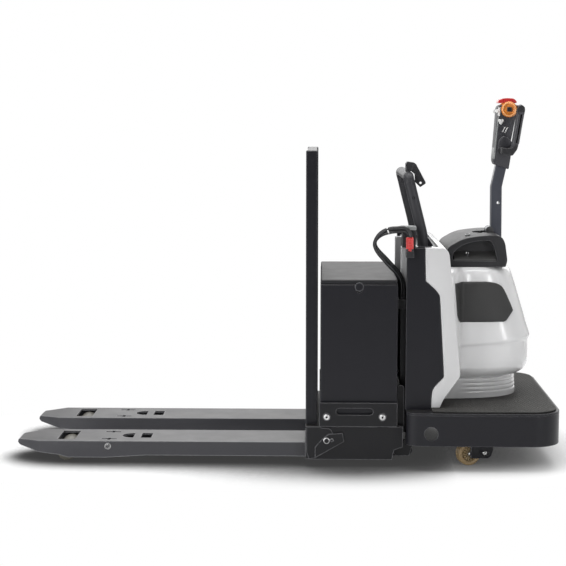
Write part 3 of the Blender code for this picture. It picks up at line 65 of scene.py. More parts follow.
def outer_face(node, sign):
    """How far a node's outer face is from the machine's middle plane, on its own side."""
    return abs(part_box(node)[1 if sign > 0 else 0].y)


# Stations taken from the frame

SIDES = {"left": 1, "right": -1}
UP = Vector((0, 0, 1))
UNIT_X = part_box("guide_rail_left")[1].x + 0.0003
HEEL_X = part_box("backrest")[0].x
BATTERY_LOW, BATTERY_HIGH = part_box("battery_case")
UNIT_HALF, UNIT_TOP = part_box("side_plate_left")[1].y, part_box("side_plate_left")[1].z
MAT_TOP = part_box("platform_mat")[1].z
FORK_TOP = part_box("fork_left")[1].z
FORK_Y = middle_of("load_wheel_left").y
TILLER_X = middle_of("tiller_turret").x
HEAD_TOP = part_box("reverse_button")[1].z
CONSOLE_LOW, CONSOLE_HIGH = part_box("console")
PLUG_LOW, PLUG_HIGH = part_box("connector_plug")


# Shader nodes

WHITE = (1, 1, 1, 1)


def add(tree, kind, inputs=None, **settings):
    """A shader node with its settings and its inputs, which are sockets or plain values."""
    node = tree.nodes.new(f"ShaderNode{kind}")
    for label, value in settings.items():
        setattr(node, label, value)
    for label, value in (inputs or {}).items():
        plug_in(tree, node.inputs[label], value)
    return node


def plug_in(tree, socket, value):
    if isinstance(value, bpy.types.NodeSocket):
        tree.links.new(value, socket)
    else:
        socket.default_value = value


def maths(tree, operation, first, second):
    return add(tree, "Math", {0: first, 1: second}, operation=operation).outputs[0]


def times(tree, first, *others):
    for other in others:
        first = maths(tree, "MULTIPLY", first, other)
    return first


def plus(tree, first, second):
    return maths(tree, "ADD", first, second)


def mixed(tree, factor, first, second, blend="MIX"):
    return add(tree, "Mix", {0: factor, 6: first, 7: second}, data_type="RGBA",
               blend_type=blend).outputs[2]


def ramp(tree, value, low, high, first=0.0, last=1.0, curve="SMOOTHSTEP"):
    """first where the value is low, last where it is high."""
    return add(tree, "MapRange", {"Value": value, "From Min": low, "From Max": high,
                                  "To Min": first, "To Max": last},
               interpolation_type=curve).outputs[0]


def place(tree, kind="Object"):
    return add(tree, "TexCoord").outputs[kind]


def split(tree, vector):
    return add(tree, "SeparateXYZ", {0: vector}).outputs


def noise(tree, scale, detail=3.0):
    """Noise in the machine's own coordinates."""
    return add(tree, "TexNoise", {"Detail": detail, "Roughness": 0.55, "Scale": scale,
                                  "Vector": place(tree)}).outputs["Fac"]


# Camera, light and stage

CAMERA_PLACE = (0.1546, -6.2709, 1.4482)
CAMERA_PITCH, CAMERA_YAW = 0.1155, 0.0273
CAMERA_LENS = 92.22
LIGHTS = (("overhead", (0.2, -0.4, 4.6), (0.1, 0.1, 0.0), (5.0, 3.0), 190),
          ("near_left", (-3.0, -5.4, 3.2), (0.4, 0, 0.5), (3.0, 2.4), 120),
          ("near_right", (4.0, -4.6, 1.7), (0.9, -0.2, 0.6), (0.8, 3.0), 60),
          ("low_left", (-4.2, -4.4, 0.8), (0.8, -0.2, 0.5), (2.4, 1.6), 70),
          ("far_wall", (1.0, 5.0, 2.4), (0.2, 0, 0.5), (6.0, 2.6), 50))


def new_object(name, data):
    obj = bpy.data.objects.new(name, data)
    bpy.context.scene.collection.objects.link(obj)
    return obj


def add_camera():
    """The photograph's viewpoint: a little above the console, square to the machine's side."""
    data = bpy.data.cameras.new("camera")
    data.lens, data.sensor_width = CAMERA_LENS, 36
    camera = new_object("camera", data)
    camera.location = CAMERA_PLACE
    camera.rotation_euler = (math.pi / 2 - CAMERA_PITCH, 0, CAMERA_YAW)
    bpy.context.scene.camera = camera


def add_light(name, spot, target, size, power):
    data = bpy.data.lights.new(name, "AREA")
    data.shape, data.energy = "RECTANGLE", power
    data.size, data.size_y = size
    light = new_object(name, data)
    light.location = spot
    light.rotation_euler = (Vector(target) - Vector(spot)).to_track_quat("-Z", "Y").to_euler()


def add_world():
    """White to the eye; for light and reflections a bright far wall and a dimmer near one."""
    world = bpy.data.worlds.new("studio")
    bpy.context.scene.world = world
    world.use_nodes = True
    tree = world.node_tree
    tree.nodes.clear()
    wall = ramp(tree, split(tree, place(tree, "Generated"))["Y"], -0.45, 0.5, 0.13, 0.72)
    light = add(tree, "Background", {"Color": WHITE, "Strength": wall})
    seen = add(tree, "Background", {"Color": WHITE, "Strength": 1.0})
    mix = add(tree, "MixShader", {0: add(tree, "LightPath").outputs["Is Camera Ray"],
                                  1: light.outputs[0], 2: seen.outputs[0]})
    add(tree, "OutputWorld", {0: mix.outputs[0]})


def add_floor():
    """A plain pale floor that keeps the machine's shadow, deepened by painted shade from an
    occlusion node; farther out it looks white.
    """
    bm = bmesh.new()
    bmesh.ops.create_grid(bm, x_segments=1, y_segments=1, size=60)
    mesh = as_mesh(bm)
    material = bpy.data.materials.new("floor_pale")
    material.use_nodes = True
    tree = material.node_tree
    path, spot = add(tree, "LightPath").outputs, place(tree)
    seen = path["Is Camera Ray"]
    # Painted shade from an occlusion node: it closes in under the forks and spreads under the
    # platform
    reach = ramp(tree, split(tree, spot)["X"], 0.3, 0.7, 6.5, 0.75, "LINEAR")
    painted_contact_shade = add(tree, "AmbientOcclusion", {"Distance": 0.8}, samples=12).outputs["AO"]
    tone = maths(tree, "POWER", maths(tree, "POWER", painted_contact_shade, reach), seen)
    shader = tree.nodes["Principled BSDF"]
    for label, value in {
            "Roughness": 0.9, "Specular IOR Level": 0.0, "Emission Color": WHITE,
            "Base Color": mixed(tree, tone, (0.02, 0.02, 0.02, 1), (0.93, 0.93, 0.93, 1)),
            "Emission Strength": times(tree, plus(tree, times(tree, tone, 0.18), 0.045), seen),
    }.items():
        plug_in(tree, shader.inputs[label], value)
    oval = add(tree, "VectorMath", {0: spot, 1: (1 / 1.6, 1 / 0.6, 0)}, operation="MULTIPLY")
    away = add(tree, "VectorMath", {0: oval.outputs[0]}, operation="LENGTH").outputs["Value"]
    eye = maths(tree, "MAXIMUM", seen, path["Is Transmission Ray"])
    white = add(tree, "Emission", {"Color": WHITE}).outputs[0]
    blend = add(tree, "MixShader", {0: times(tree, ramp(tree, away, 0.78, 1.34), eye),
                                    1: shader.outputs[0], 2: white})
    tree.links.new(blend.outputs[0], tree.nodes["Material Output"].inputs[0])
    mesh.materials.append(material)
    new_object("floor", mesh)


# Shader groups

def new_group(name, inputs, outputs):
    """A shader group's tree, its inputs, and a function that sets its outputs in order."""
    tree = bpy.data.node_groups.new(name, "ShaderNodeTree")
    for label, default in inputs.items():
        kind = "NodeSocketColor" if label.endswith("Colour") else "NodeSocketFloat"
        socket = tree.interface.new_socket(label, in_out="INPUT", socket_type=kind)
        socket.default_value = default
    for label in outputs:
        kind = "NodeSocketColor" if label == "Colour" else "NodeSocketFloat"
        tree.interface.new_socket(label, in_out="OUTPUT", socket_type=kind)
    given, sink = tree.nodes.new("NodeGroupInput"), tree.nodes.new("NodeGroupOutput")

    def give(*values):
        for label, value in zip(outputs, values):
            tree.links.new(value, sink.inputs[label])
        return tree

    return tree, given.outputs, give


def mottle_group():
    """Uneven tone: slow clouds and a little fine speckle over a colour."""
    tree, given, give = new_group("mottle", {"Colour": (0.5, 0.5, 0.5, 1), "Amount": 0.1,
                                             "Scale": 6.0}, ("Colour", "Mask"))
    both = plus(tree, times(tree, noise(tree, given["Scale"]), 0.7),
                times(tree, noise(tree, 420, 2.0), 0.3))
    swing = times(tree, maths(tree, "SUBTRACT", both, 0.5), 2.0)
    tone = plus(tree, times(tree, swing, given["Amount"]), 1.0)
    grey = add(tree, "CombineColor", {0: tone, 1: tone, 2: tone}).outputs[0]
    return give(mixed(tree, 1.0, given["Colour"], grey, "MULTIPLY"), both)


def edge_highlight_group():
    """Painted highlight: edges made lighter where two faces meet, standing in for edges that
    catch the light.
    """
    tree, given, give = new_group(
        "painted_edge_highlights", {"Colour": (0.1, 0.1, 0.1, 1), "Edge Colour": (0.3, 0.3, 0.3, 1),
                         "Amount": 0.5, "Width": 0.002}, ("Colour", "Mask"))
    soft = add(tree, "Bevel", {"Radius": given["Width"]}, samples=4).outputs[0]
    flat = add(tree, "NewGeometry").outputs["Normal"]
    dot = add(tree, "VectorMath", {0: soft, 1: flat}, operation="DOT_PRODUCT")
    turn = maths(tree, "SUBTRACT", 1.0, dot.outputs["Value"])
    edge = maths(tree, "MINIMUM", times(tree, turn, 7.0), 1.0)
    patchy = plus(tree, times(tree, noise(tree, 30), 0.8), 0.5)
    mask = times(tree, edge, patchy, given["Amount"])
    return give(mixed(tree, mask, given["Colour"], given["Edge Colour"]), mask)


def dust_group():
    """A thin film of dust on what faces up."""
    tree, given, give = new_group("dust_film", {"Colour": (0.1, 0.1, 0.1, 1), "Amount": 0.1},
                                  ("Colour", "Mask"))
    normal = split(tree, add(tree, "NewGeometry").outputs["Normal"])
    up = maths(tree, "MAXIMUM", normal["Z"], 0.0)
    mask = times(tree, up, times(tree, noise(tree, 9, 5.0), 1.6), given["Amount"])
    return give(mixed(tree, mask, given["Colour"], (0.42, 0.4, 0.37, 1)), mask)


def grain_group():
    """Fine surface relief and the roughness that goes with it."""
    tree, given, give = new_group("fine_grain", {"Scale": 600.0, "Pebble": 0.5, "Roughness": 0.5,
                                                 "Spread": 0.1}, ("Height", "Roughness"))
    pebble = add(tree, "TexVoronoi", {"Vector": place(tree), "Scale": given["Scale"]})
    peel = times(tree, noise(tree, given["Scale"]),
                 maths(tree, "SUBTRACT", 1.0, given["Pebble"]))
    height = plus(tree, times(tree, pebble.outputs["Distance"], given["Pebble"]), peel)
    cloud = maths(tree, "SUBTRACT", noise(tree, 14), 0.5)
    return give(height, plus(tree, given["Roughness"], times(tree, cloud, given["Spread"])))


def brushed_group():
    """Drawn lines along one direction, for bare metal."""
    tree, given, give = new_group("brushed_lines", {"Along": 6.0, "Across": 500.0,
                                                    "Roughness": 0.3}, ("Height", "Roughness"))
    axes = split(tree, place(tree))
    drawn = add(tree, "CombineXYZ", {axis: times(tree, axes[axis], given[factor])
                                     for axis, factor in (("X", "Across"), ("Y", "Across"),
                                                          ("Z", "Along"))}).outputs[0]
    lines = add(tree, "TexNoise", {"Scale": 1.0, "Vector": drawn}).outputs["Fac"]
    return give(lines, plus(tree, given["Roughness"], times(tree, lines, 0.12)))


GROUPS = {"mottle": mottle_group(), "edges": edge_highlight_group(), "dust": dust_group(),
          "grain": grain_group(), "brushed": brushed_group()}


def placed(tree, group, **values):
    """One of the groups in a material, with its own values."""
    node = add(tree, "Group", node_tree=GROUPS[group])
    for label, value in values.items():
        plug_in(tree, node.inputs[label.replace("_", " ")],
                (*value, 1) if isinstance(value, tuple) else value)
    return node.outputs


# Finishes

FINISHES = {}


def new_finish(name, metallic, specular, coat=0.0):
    """A material whose even values sit on its own shader."""
    material = FINISHES[name] = bpy.data.materials.new(name)
    material.use_nodes = True
    tree = material.node_tree
    shader = tree.nodes["Principled BSDF"]
    for label, value in (("Metallic", metallic), ("Specular IOR Level", specular),
                         ("Coat Weight", coat), ("Coat Roughness", 0.12)):
        shader.inputs[label].default_value = value
    return tree, shader


def wire(tree, shader, colour, texture, depth):
    """The shader's colour, and the roughness and relief of a texture group."""
    tree.links.new(colour, shader.inputs["Base Color"])
    tree.links.new(texture["Roughness"], shader.inputs["Roughness"])
    bump = add(tree, "Bump", {"Strength": depth, "Distance": 0.001, "Height": texture["Height"]})
    tree.links.new(bump.outputs[0], shader.inputs["Normal"])


def coated(name, colour, rough, edge=None, edge_highlight_amount=0.4, grain=700, pebble=0.3, depth=0.12,
           dust=0.05, tone=0.12, specular=0.5, coat=0.0, metallic=0.0, spread=0.12,
           edge_highlight_width=0.0035):
    """A painted, moulded or rubber surface: mottled colour, edges lightened as a painted
    highlight, dust and grain.
    """
    tree, shader = new_finish(name, metallic, specular, coat)
    last = placed(tree, "mottle", Colour=colour, Amount=tone, Scale=5.0)["Colour"]
    # edge is the colour of the painted highlight along the edges
    if edge:
        last = placed(tree, "edges", Colour=last, Edge_Colour=edge, Amount=edge_highlight_amount,
                      Width=edge_highlight_width)["Colour"]
    last = placed(tree, "dust", Colour=last, Amount=dust)["Colour"]
    wire(tree, shader, last, placed(tree, "grain", Scale=float(grain), Pebble=pebble,
                                    Roughness=rough, Spread=spread), depth)


def bare_metal(name, colour, rough):
    """Turned metal with fine lines."""
    tree, shader = new_finish(name, 1.0, 0.5)
    cloud = placed(tree, "mottle", Colour=colour, Amount=0.08, Scale=20.0)
    wire(tree, shader, cloud["Colour"],
         placed(tree, "brushed", Along=300.0, Across=300.0, Roughness=rough), 0.05)


def rail_steel():
    """Drawn steel, bright above the battery's top and darkened below it as painted shade, where
    the rails stand in shadow.
    """
    tree, shader = new_finish("rail_steel", 1.0, 0.5)
    # Painted shade: the steel turns near-black below the battery's top.
    bright = ramp(tree, split(tree, place(tree))["Z"], 0.72, 0.8)
    colour = mixed(tree, bright, (0.035, 0.035, 0.037, 1), (0.62, 0.62, 0.63, 1))
    cloud = placed(tree, "mottle", Colour=colour, Amount=0.12, Scale=20.0)
    wire(tree, shader, cloud["Colour"],
         placed(tree, "brushed", Along=6.0, Across=500.0, Roughness=0.3), 0.08)


def mix_finishes():
    # A finish's third value is the colour of its painted edge highlight.
    coated("fork_paint", (0.036, 0.036, 0.041), 0.36, (0.26, 0.26, 0.27), 0.9, dust=0.1,
           grain=500, depth=0.1, edge_highlight_width=0.006, specular=0.36)
    coated("black_paint", (0.008, 0.008, 0.011), 0.34, (0.15, 0.15, 0.16), 0.7,
           edge_highlight_width=0.004, specular=0.25)
    coated("powder_coat", (0.0075, 0.0075, 0.009), 0.42, (0.2, 0.2, 0.21), 0.8, grain=900,
           pebble=0.5, depth=0.18, edge_highlight_width=0.005, specular=0.25)
    coated("tube_paint", (0.034, 0.034, 0.038), 0.4, depth=0.06, specular=0.22, dust=0.01)
    coated("post_paint", (0.05, 0.054, 0.07), 0.34, (0.22, 0.23, 0.26), 0.5, depth=0.06,
           metallic=0.2, coat=0.2)
    coated("lid_paint", (0.01, 0.01, 0.012), 0.46, (0.15, 0.15, 0.16), 0.6, specular=0.22,
           dust=0.06, edge_highlight_width=0.004)
    gelcoat = {"grain": 1400, "pebble": 0.6, "depth": 0.04, "dust": 0.0, "tone": 0.02,
               "edge_highlight_width": 0.005, "spread": 0.01}
    # The cover is one white moulding: its wings get a darker copy of the white as painted shade,
    # its body a lighter copy as painted light.
    coated("wing_white_painted_darker", (0.53, 0.53, 0.535), 0.26, (0.8, 0.8, 0.8), coat=0.7, **gelcoat)
    coated("body_white_painted_lighter", (0.67, 0.67, 0.675), 0.24, (0.82, 0.82, 0.82), coat=0.8, **gelcoat)
    coated("soft_pad", (0.026, 0.026, 0.026), 0.6, (0.09, 0.09, 0.09), 0.5, grain=1500,
           pebble=0.9, depth=0.35, dust=0.03, edge_highlight_width=0.006)
    coated("moulded_dark", (0.017, 0.017, 0.019), 0.42, (0.15, 0.15, 0.16), 0.7, grain=1300,
           pebble=0.9, depth=0.22, edge_highlight_width=0.004, specular=0.3)
    coated("head_plastic", (0.03, 0.03, 0.036), 0.46, (0.17, 0.17, 0.18), 0.6, grain=1300,
           pebble=0.8, depth=0.22, edge_highlight_width=0.003)
    coated("grip_edge", (0.085, 0.085, 0.09), 0.44, grain=1200, depth=0.1)
    # Near-black put inside holes, sockets and grooves as painted shade.
    coated("painted_shade_black", (0.002, 0.002, 0.002), 0.8, dust=0.0, specular=0.1)
    coated("mat_rubber", (0.026, 0.026, 0.025), 0.7, grain=420, pebble=0.9, depth=0.8,
           dust=0.07, tone=0.3, specular=0.3)
    coated("cable_rubber", (0.014, 0.014, 0.016), 0.36, grain=900, depth=0.1)
    coated("tyre_black", (0.014, 0.014, 0.014), 0.75, grain=500, depth=0.3)
    coated("tan_tread", (0.3, 0.21, 0.105), 0.42, (0.42, 0.33, 0.2), grain=350, depth=0.15,
           tone=0.3, dust=0.08)
    coated("roller_tread", (0.095, 0.09, 0.074), 0.46, (0.2, 0.19, 0.16), grain=350,
           depth=0.15, tone=0.3, dust=0.1)
    coated("wheel_hub", (0.3, 0.23, 0.13), 0.45, (0.45, 0.38, 0.26), 0.5, grain=500, depth=0.2,
           tone=0.3, edge_highlight_width=0.0015)
    # The hub's tan at a fifth of its brightness: painted shade for the sunk web.
    coated("hub_web_painted_shade", (0.06, 0.045, 0.026), 0.6, dust=0.02)
    gloss = {"grain": 1200, "depth": 0.08, "dust": 0.01, "tone": 0.06}
    coated("orange_plastic", (0.66, 0.21, 0.03), 0.34, (0.95, 0.5, 0.2), 0.6,
           edge_highlight_width=0.0025, **gloss)
    coated("red_plastic", (0.46, 0.02, 0.02), 0.32, (0.8, 0.25, 0.24), 0.6, coat=0.3, **gloss)
    coated("orange_rim", (0.9, 0.46, 0.19), 0.36, depth=0.05, dust=0.0)
    coated("pale_plastic", (0.7, 0.7, 0.69), 0.38, depth=0.05, dust=0.0, tone=0.04)
    coated("grey_plate", (0.24, 0.25, 0.25), 0.42, (0.5, 0.5, 0.5), depth=0.06)
    bare_metal("zinc", (0.62, 0.62, 0.62), 0.24)
    bare_metal("dark_bolt", (0.12, 0.12, 0.125), 0.36)
    rail_steel()


# Making pieces

def round_shading(mesh):
    mesh.polygons.foreach_set("use_smooth", [True] * len(mesh.polygons))
    for name in ("custom_normal", "sharp_face", "sharp_edge"):
        if name in mesh.attributes:
            mesh.attributes.remove(mesh.attributes[name])


def soften(obj, width, segments=2, angle=32):
    """Rounded edges that catch the light, without changing the object's size."""
    bevel = obj.modifiers.new("Bevel", "BEVEL")
    bevel.width, bevel.segments = width, segments
    bevel.limit_method, bevel.angle_limit = "ANGLE", math.radians(angle)
    bevel.harden_normals = True
    return bevel


def thicken(obj, thickness):
    """A skin's thickness, inward from its face."""
    skin = obj.modifiers.new("Solidify", "SOLIDIFY")
    skin.thickness, skin.offset = thickness, -1


def dress(node, finish, width=0.0, segments=2):
    """A frame node with its finish and its edges rounded."""
    obj = NODES[node]
    round_shading(obj.data)
    obj.data.materials.clear()
    obj.data.materials.append(FINISHES[finish])
    obj.modifiers.new("Weld", "WELD").merge_threshold = 0.00002
    flat = obj.modifiers.new("Decimate", "DECIMATE")
    flat.decimate_type, flat.angle_limit = "DISSOLVE", math.radians(1.0)
    if width:
        soften(obj, width, segments)
    else:
        obj.modifiers.new("Edges", "EDGE_SPLIT").split_angle = math.radians(35)


def piece(name, mesh, finish, body, slot, edge=None, replaces=False):
    """A finished piece that rides on a body; it may replace a node, which is then hidden.

    edge gives the rounding of its edges: a width, segments and the least angle.
    """
    mesh.name = name
    obj = new_object(name, mesh)
    mesh.materials.clear()
    mesh.materials.append(FINISHES[finish])
    round_shading(mesh)
    if body:
        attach(obj, body)
    if replaces:
        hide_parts(slot)
    if edge:
        soften(obj, *edge)
    return obj


def as_mesh(bm):
    mesh = bpy.data.meshes.new("mesh")
    bm.to_mesh(mesh)
    bm.free()
    return mesh


def mesh_of(bm):
    """The mesh, its faces turned outward."""
    bmesh.ops.recalc_face_normals(bm, faces=bm.faces)
    return as_mesh(bm)


@contextmanager
def making(name, finish, body, slot, edge=None, replaces=False):
    """A piece from what the block adds to its mesh."""
    bm = bmesh.new()
    yield bm
    piece(name, mesh_of(bm), finish, body, slot, edge, replaces)


def bridge(bm, low, high):
    """Faces between two closed rings of vertices."""
    for i, vert in enumerate(low):
        j = (i + 1) % len(low)
        bm.faces.new((vert, low[j], high[j], high[i]))


def skin(bm, rings, hoop=False):
    """Faces along rings of vertices; the ends are closed, or joined where it is a hoop."""
    if hoop:
        rings = [*rings, rings[0]]
    for low, high in zip(rings, rings[1:]):
        bridge(bm, low, high)
    if not hoop:
        bm.faces.new(rings[0])
        bm.faces.new(rings[-1])


def prism(bm, outline, low, high, plane="XZ"):
    """A flat outline between two levels, added to bm."""
    order = {"XZ": lambda a, b, c: (a, c, b), "XY": lambda a, b, c: (a, b, c),
             "YZ": lambda a, b, c: (c, a, b)}[plane]
    first, last = ([bm.verts.new(order(a, b, level)) for a, b in outline]
                   for level in (low, high))
    bm.faces.new(first)
    bm.faces.new(last)
    bridge(bm, first, last)


def block(bm, low, high):
    prism(bm, [(low[0], low[2]), (high[0], low[2]), (high[0], high[2]), (low[0], high[2])],
          low[1], high[1])


def plate(outline, low, high, plane="XZ"):
    bm = bmesh.new()
    prism(bm, outline, low, high, plane)
    return mesh_of(bm)


def box_mesh(low, high):
    bm = bmesh.new()
    block(bm, low, high)
    return mesh_of(bm)


def arc(centre, radius, start, end, count):
    """Points on an arc, angles in degrees."""
    angles = [math.radians(start + (end - start) * i / (count - 1)) for i in range(count)]
    return [(centre[0] + radius * math.cos(a), centre[1] + radius * math.sin(a)) for a in angles]


def rounded(corners, radius, count=5):
    """An outline with each corner rounded, by one radius or by one each."""
    points = []
    for i, corner in enumerate(corners):
        before, here = Vector(corners[i - 1]), Vector(corner)
        after = Vector(corners[(i + 1) % len(corners)])
        r = radius[i] if isinstance(radius, (list, tuple)) else radius
        into, out = (before - here).normalized(), (after - here).normalized()
        reach = min(r, (before - here).length * 0.45, (after - here).length * 0.45)
        for k in range(count):
            t = k / (count - 1)
            points.append(tuple((here + into * reach) * (1 - t) ** 2 + here * 2 * t * (1 - t)
                                + (here + out * reach) * t ** 2))
    return points


def smooth(points, per_span=6):
    """Points on a smooth curve through the given ones."""
    ends = [points[0], *points, points[-1]]
    result = []
    for spot in zip(ends, ends[1:], ends[2:], ends[3:]):
        a, b, c, d = (Vector(p) for p in spot)
        for i in range(per_span):
            t = i / per_span
            result.append(0.5 * (2 * b + (c - a) * t + (2 * a - 5 * b + 4 * c - d) * t ** 2
                                 + (3 * b - a - 3 * c + d) * t ** 3))
    return [*result, Vector(points[-1])]


def sweep(bm, path, section, up=Vector((0, 1, 0))):
    """A section of (across, up) points, or a function of the share passed, along a path."""
    path = [Vector(p) for p in path]
    rings = []
    for i, point in enumerate(path):
        before, after = path[max(i - 1, 0)], path[min(i + 1, len(path) - 1)]
        along = (after - before).normalized()
        across = along.cross(up).normalized()
        lift = across.cross(along).normalized()
        shape = section(i / (len(path) - 1)) if callable(section) else section
        rings.append([bm.verts.new(point + across * a + lift * b) for a, b in shape])
    skin(bm, rings)


def ring(radius, count=20, squash=1.0):
    return [(radius * math.cos(a), radius * squash * math.sin(a))
            for a in (2 * math.pi * i / count for i in range(count))]


def lathe(bm, profile, at, count=40, wave=None, hoop=False):
    """A profile of (radius, height) points turned about the frame's Z axis.

    wave(angle, index) may change the radius of one point of the profile.
    """
    rings = []
    for index, (radius, height) in enumerate(profile):
        loop = []
        for i in range(count):
            a = 2 * math.pi * i / count
            r = radius * (wave(a, index) if wave else 1.0)
            loop.append(bm.verts.new(at @ Vector((r * math.cos(a), r * math.sin(a), height))))
        rings.append(loop)
    skin(bm, rings, hoop)


def drill(radius, low, high, at, count=24):
    """A round cutter between two heights."""
    bm = bmesh.new()
    lathe(bm, [(radius, low), (radius, high)], at, count)
    return mesh_of(bm)


def upright(x, y=0.0, z=0.0):
    return Matrix.Translation((x, y, z))


def sideways(x, z, sign, y=0.0):
    """A frame whose Z axis points across the machine, to the left for sign 1."""
    return upright(x, y, z) @ Matrix.Rotation(math.radians(-90 * sign), 4, "X")


def axis_frame(spot, direction):
    """A frame at a spot whose Z axis points along direction."""
    turn = Vector(direction).to_track_quat("Z", "Y").to_matrix().to_4x4()
    return Matrix.Translation(Vector(spot)) @ turn


def hex_wave(angle):
    """How far a hexagon's side is from its corner circle at an angle."""
    return math.cos(math.pi / 6) / math.cos((angle + math.pi / 6) % (math.pi / 3) - math.pi / 6)


def socket_bolt(bm, spot, direction, radius, height):
    """A cap screw with a hexagon socket, seated on a washer."""
    washer, chamfer, hole = radius * 1.35, height * 0.12, radius * 0.52
    profile = [(washer, 0), (washer, height * 0.18), (washer * 0.97, height * 0.24),
               (radius, height * 0.24), (radius, height - chamfer), (radius - chamfer, height),
               (hole, height), (hole * 0.98, height * 0.45), (hole * 0.3, height * 0.4)]
    lathe(bm, profile, axis_frame(spot, direction), 24,
          lambda a, i: hex_wave(a) if i >= 6 else 1.0)


def hex_bolt(bm, spot, direction, radius, height):
    """A hexagon head on a washer."""
    profile = [(radius * 1.3, 0), (radius * 1.3, height * 0.2), (radius * 1.12, height * 0.2),
               (radius * 1.12, height * 0.85), (radius * 0.95, height)]
    lathe(bm, profile, axis_frame(spot, direction), 24,
          lambda a, i: hex_wave(a) if i >= 2 else 1.0)


def weld_bead(bm, path, radius):
    """A rippled weld along a path."""
    path = [Vector(p) for p in path]
    dense = [a.lerp(b, k / 4) for a, b in zip(path, path[1:]) for k in range(4)]
    sweep(bm, [*dense, path[-1]],
          lambda share: ring(radius * (1 + 0.16 * math.sin(share * len(path) * 4.2)), 8),
          Vector((0.31, 0.17, 0.93)))


def applied(obj):
    """The object's mesh with its modifiers in it; the object goes."""
    bpy.context.view_layer.update()
    mesh = bpy.data.meshes.new_from_object(
        obj.evaluated_get(bpy.context.evaluated_depsgraph_get()))
    bpy.data.objects.remove(obj)
    return mesh


def carve(mesh, cutters):
    """The mesh with the cutter meshes taken out of it."""
    body = new_object("carved", mesh)
    tools = [new_object("cutter", cutter) for cutter in cutters]
    for tool in tools:
        cut = body.modifiers.new("Boolean", "BOOLEAN")
        cut.operation, cut.object = "DIFFERENCE", tool
    result = applied(body)
    for tool in tools:
        bpy.data.objects.remove(tool)
    return result


def rounded_mesh(mesh, width, segments=3, angle=32):
    """The mesh with its edges rounded."""
    obj = new_object("rounded", mesh)
    soften(obj, width, segments, angle).harden_normals = False
    return applied(obj)


def mirrored(line):
    """A half outline and its mirror image across the middle plane."""
    return line + [(x, -y) for x, y in reversed(line)]


def from_unit(points):
    return [(UNIT_X + x, z) for x, z in points]


def share_of(value, low, high):
    return min(max((value - low) / (high - low), 0), 1)


def interpolated(table, value):
    """Rows of numbers between the first and last key of a table, by straight lines."""
    if value <= table[0][0]:
        return list(table[0][1:])
    for low, high in zip(table, table[1:]):
        if value <= high[0]:
            t = (value - low[0]) / (high[0] - low[0])
            return [a + (b - a) * t for a, b in zip(low[1:], high[1:])]
    return list(table[-1][1:])


# Moulded cover

COVER_TOP = CONSOLE_LOW.z - 0.0003
COVER_SKIN = 0.006
# Height, front, nose, half width and bluntness
BODY_LEVELS = [
    (0.24, 0.172, 0.484, 0.198, 2.2), (0.262, 0.172, 0.486, 0.198, 2.2),
    (0.34, 0.19, 0.48, 0.2, 2.4), (0.352, 0.205, 0.498, 0.222, 2.7),
    (0.368, 0.225, 0.515, 0.238, 3.0), (0.384, 0.233, 0.524, 0.245, 3.2),
    (0.418, 0.233, 0.531, 0.2462, 3.4), (0.484, 0.233, 0.529, 0.245, 3.5),
    (0.497, 0.233, 0.5365, 0.25, 3.5), (0.502, 0.233, 0.5365, 0.25, 3.5),
    (0.596, 0.233, 0.512, 0.249, 3.4), (0.73, 0.233, 0.471, 0.246, 3.2),
    (0.78, 0.233, 0.455, 0.243, 3.1), (0.798, 0.233, 0.447, 0.237, 3.0),
    (0.809, 0.233, 0.436, 0.227, 3.0), (COVER_TOP, 0.233, 0.42, 0.21, 3.0)]
RIBS, RIB_FOOT, RIB_PITCH, RIB_HALF, RIB_DEPTH = 4, 0.281, 0.018, 0.005, 0.0048
WING_SPREAD = 0.0745
CREASE_Z = 0.498
# Where the black side plate meets the wing, from the mat up
SEAM = [(0.093, 0.2523), (0.093, 0.289), (0.098, 0.332), (0.144, 0.38), (0.123, 0.717),
        (0.108, 0.738), (0.065, 0.777), (0.062, UNIT_TOP)]


def body_section(z):
    """Front, nose, half width and bluntness at a height, with its creases eased."""
    spread = 0.0015 if z < 0.36 or 0.47 < z < 0.52 else 0.004
    rows = [interpolated(BODY_LEVELS, z + spread * k) for k in (-2, -1, 0, 1, 2)]
    return [sum(column) / len(rows) for column in zip(*rows)]


def rib_depth(z):
    """How far the neck is grooved at a height."""
    spot = (z - RIB_FOOT) / RIB_PITCH
    off = abs(spot - min(max(round(spot), 0), RIBS - 1)) * RIB_PITCH
    if off >= RIB_HALF:
        return 0.0
    return RIB_DEPTH * max(math.cos(off / (2 * RIB_HALF) * math.pi), 0) ** 0.7


def eased(points, passes=2):
    """An open line with its corners cut round."""
    for _ in range(passes):
        cut = [points[0]]
        for first, second in zip(points, points[1:]):
            a, b = Vector(first), Vector(second)
            cut += [tuple(a * 0.75 + b * 0.25), tuple(a * 0.25 + b * 0.75)]
        points = [*cut, points[-1]]
    return points


def body_line(z, steps=26, ribs=True):
    """Half outline of the rear body at one height, from the wing round to the nose."""
    start, nose, half, blunt = body_section(z)
    front = [(0.15, half + WING_SPREAD), (start - 0.035, half + WING_SPREAD),
             (start - 0.012, half + 0.012)]
    side = []
    for i in range(steps + 1):
        angle = math.pi / 2 * (i / steps) ** 0.8
        x = start + (nose - start) * math.sin(angle) ** (2 / blunt)
        y = half * max(math.cos(angle), 0) ** (2 / blunt)
        depth = rib_depth(z) * share_of(x, 0.262, 0.282) if ribs else 0
        side.append((x - depth * math.sin(angle), max(y - depth * math.cos(angle), 0)))
    return from_unit(eased(front + side[:1])[:-1] + side)


def crease_rise(x, z):
    """The crease round the body climbs toward the rear."""
    share = share_of(x - UNIT_X, 0.2, 0.5)
    return 0.026 * (share - 0.35) * max(0, 1 - abs(z - CREASE_Z) / 0.075)


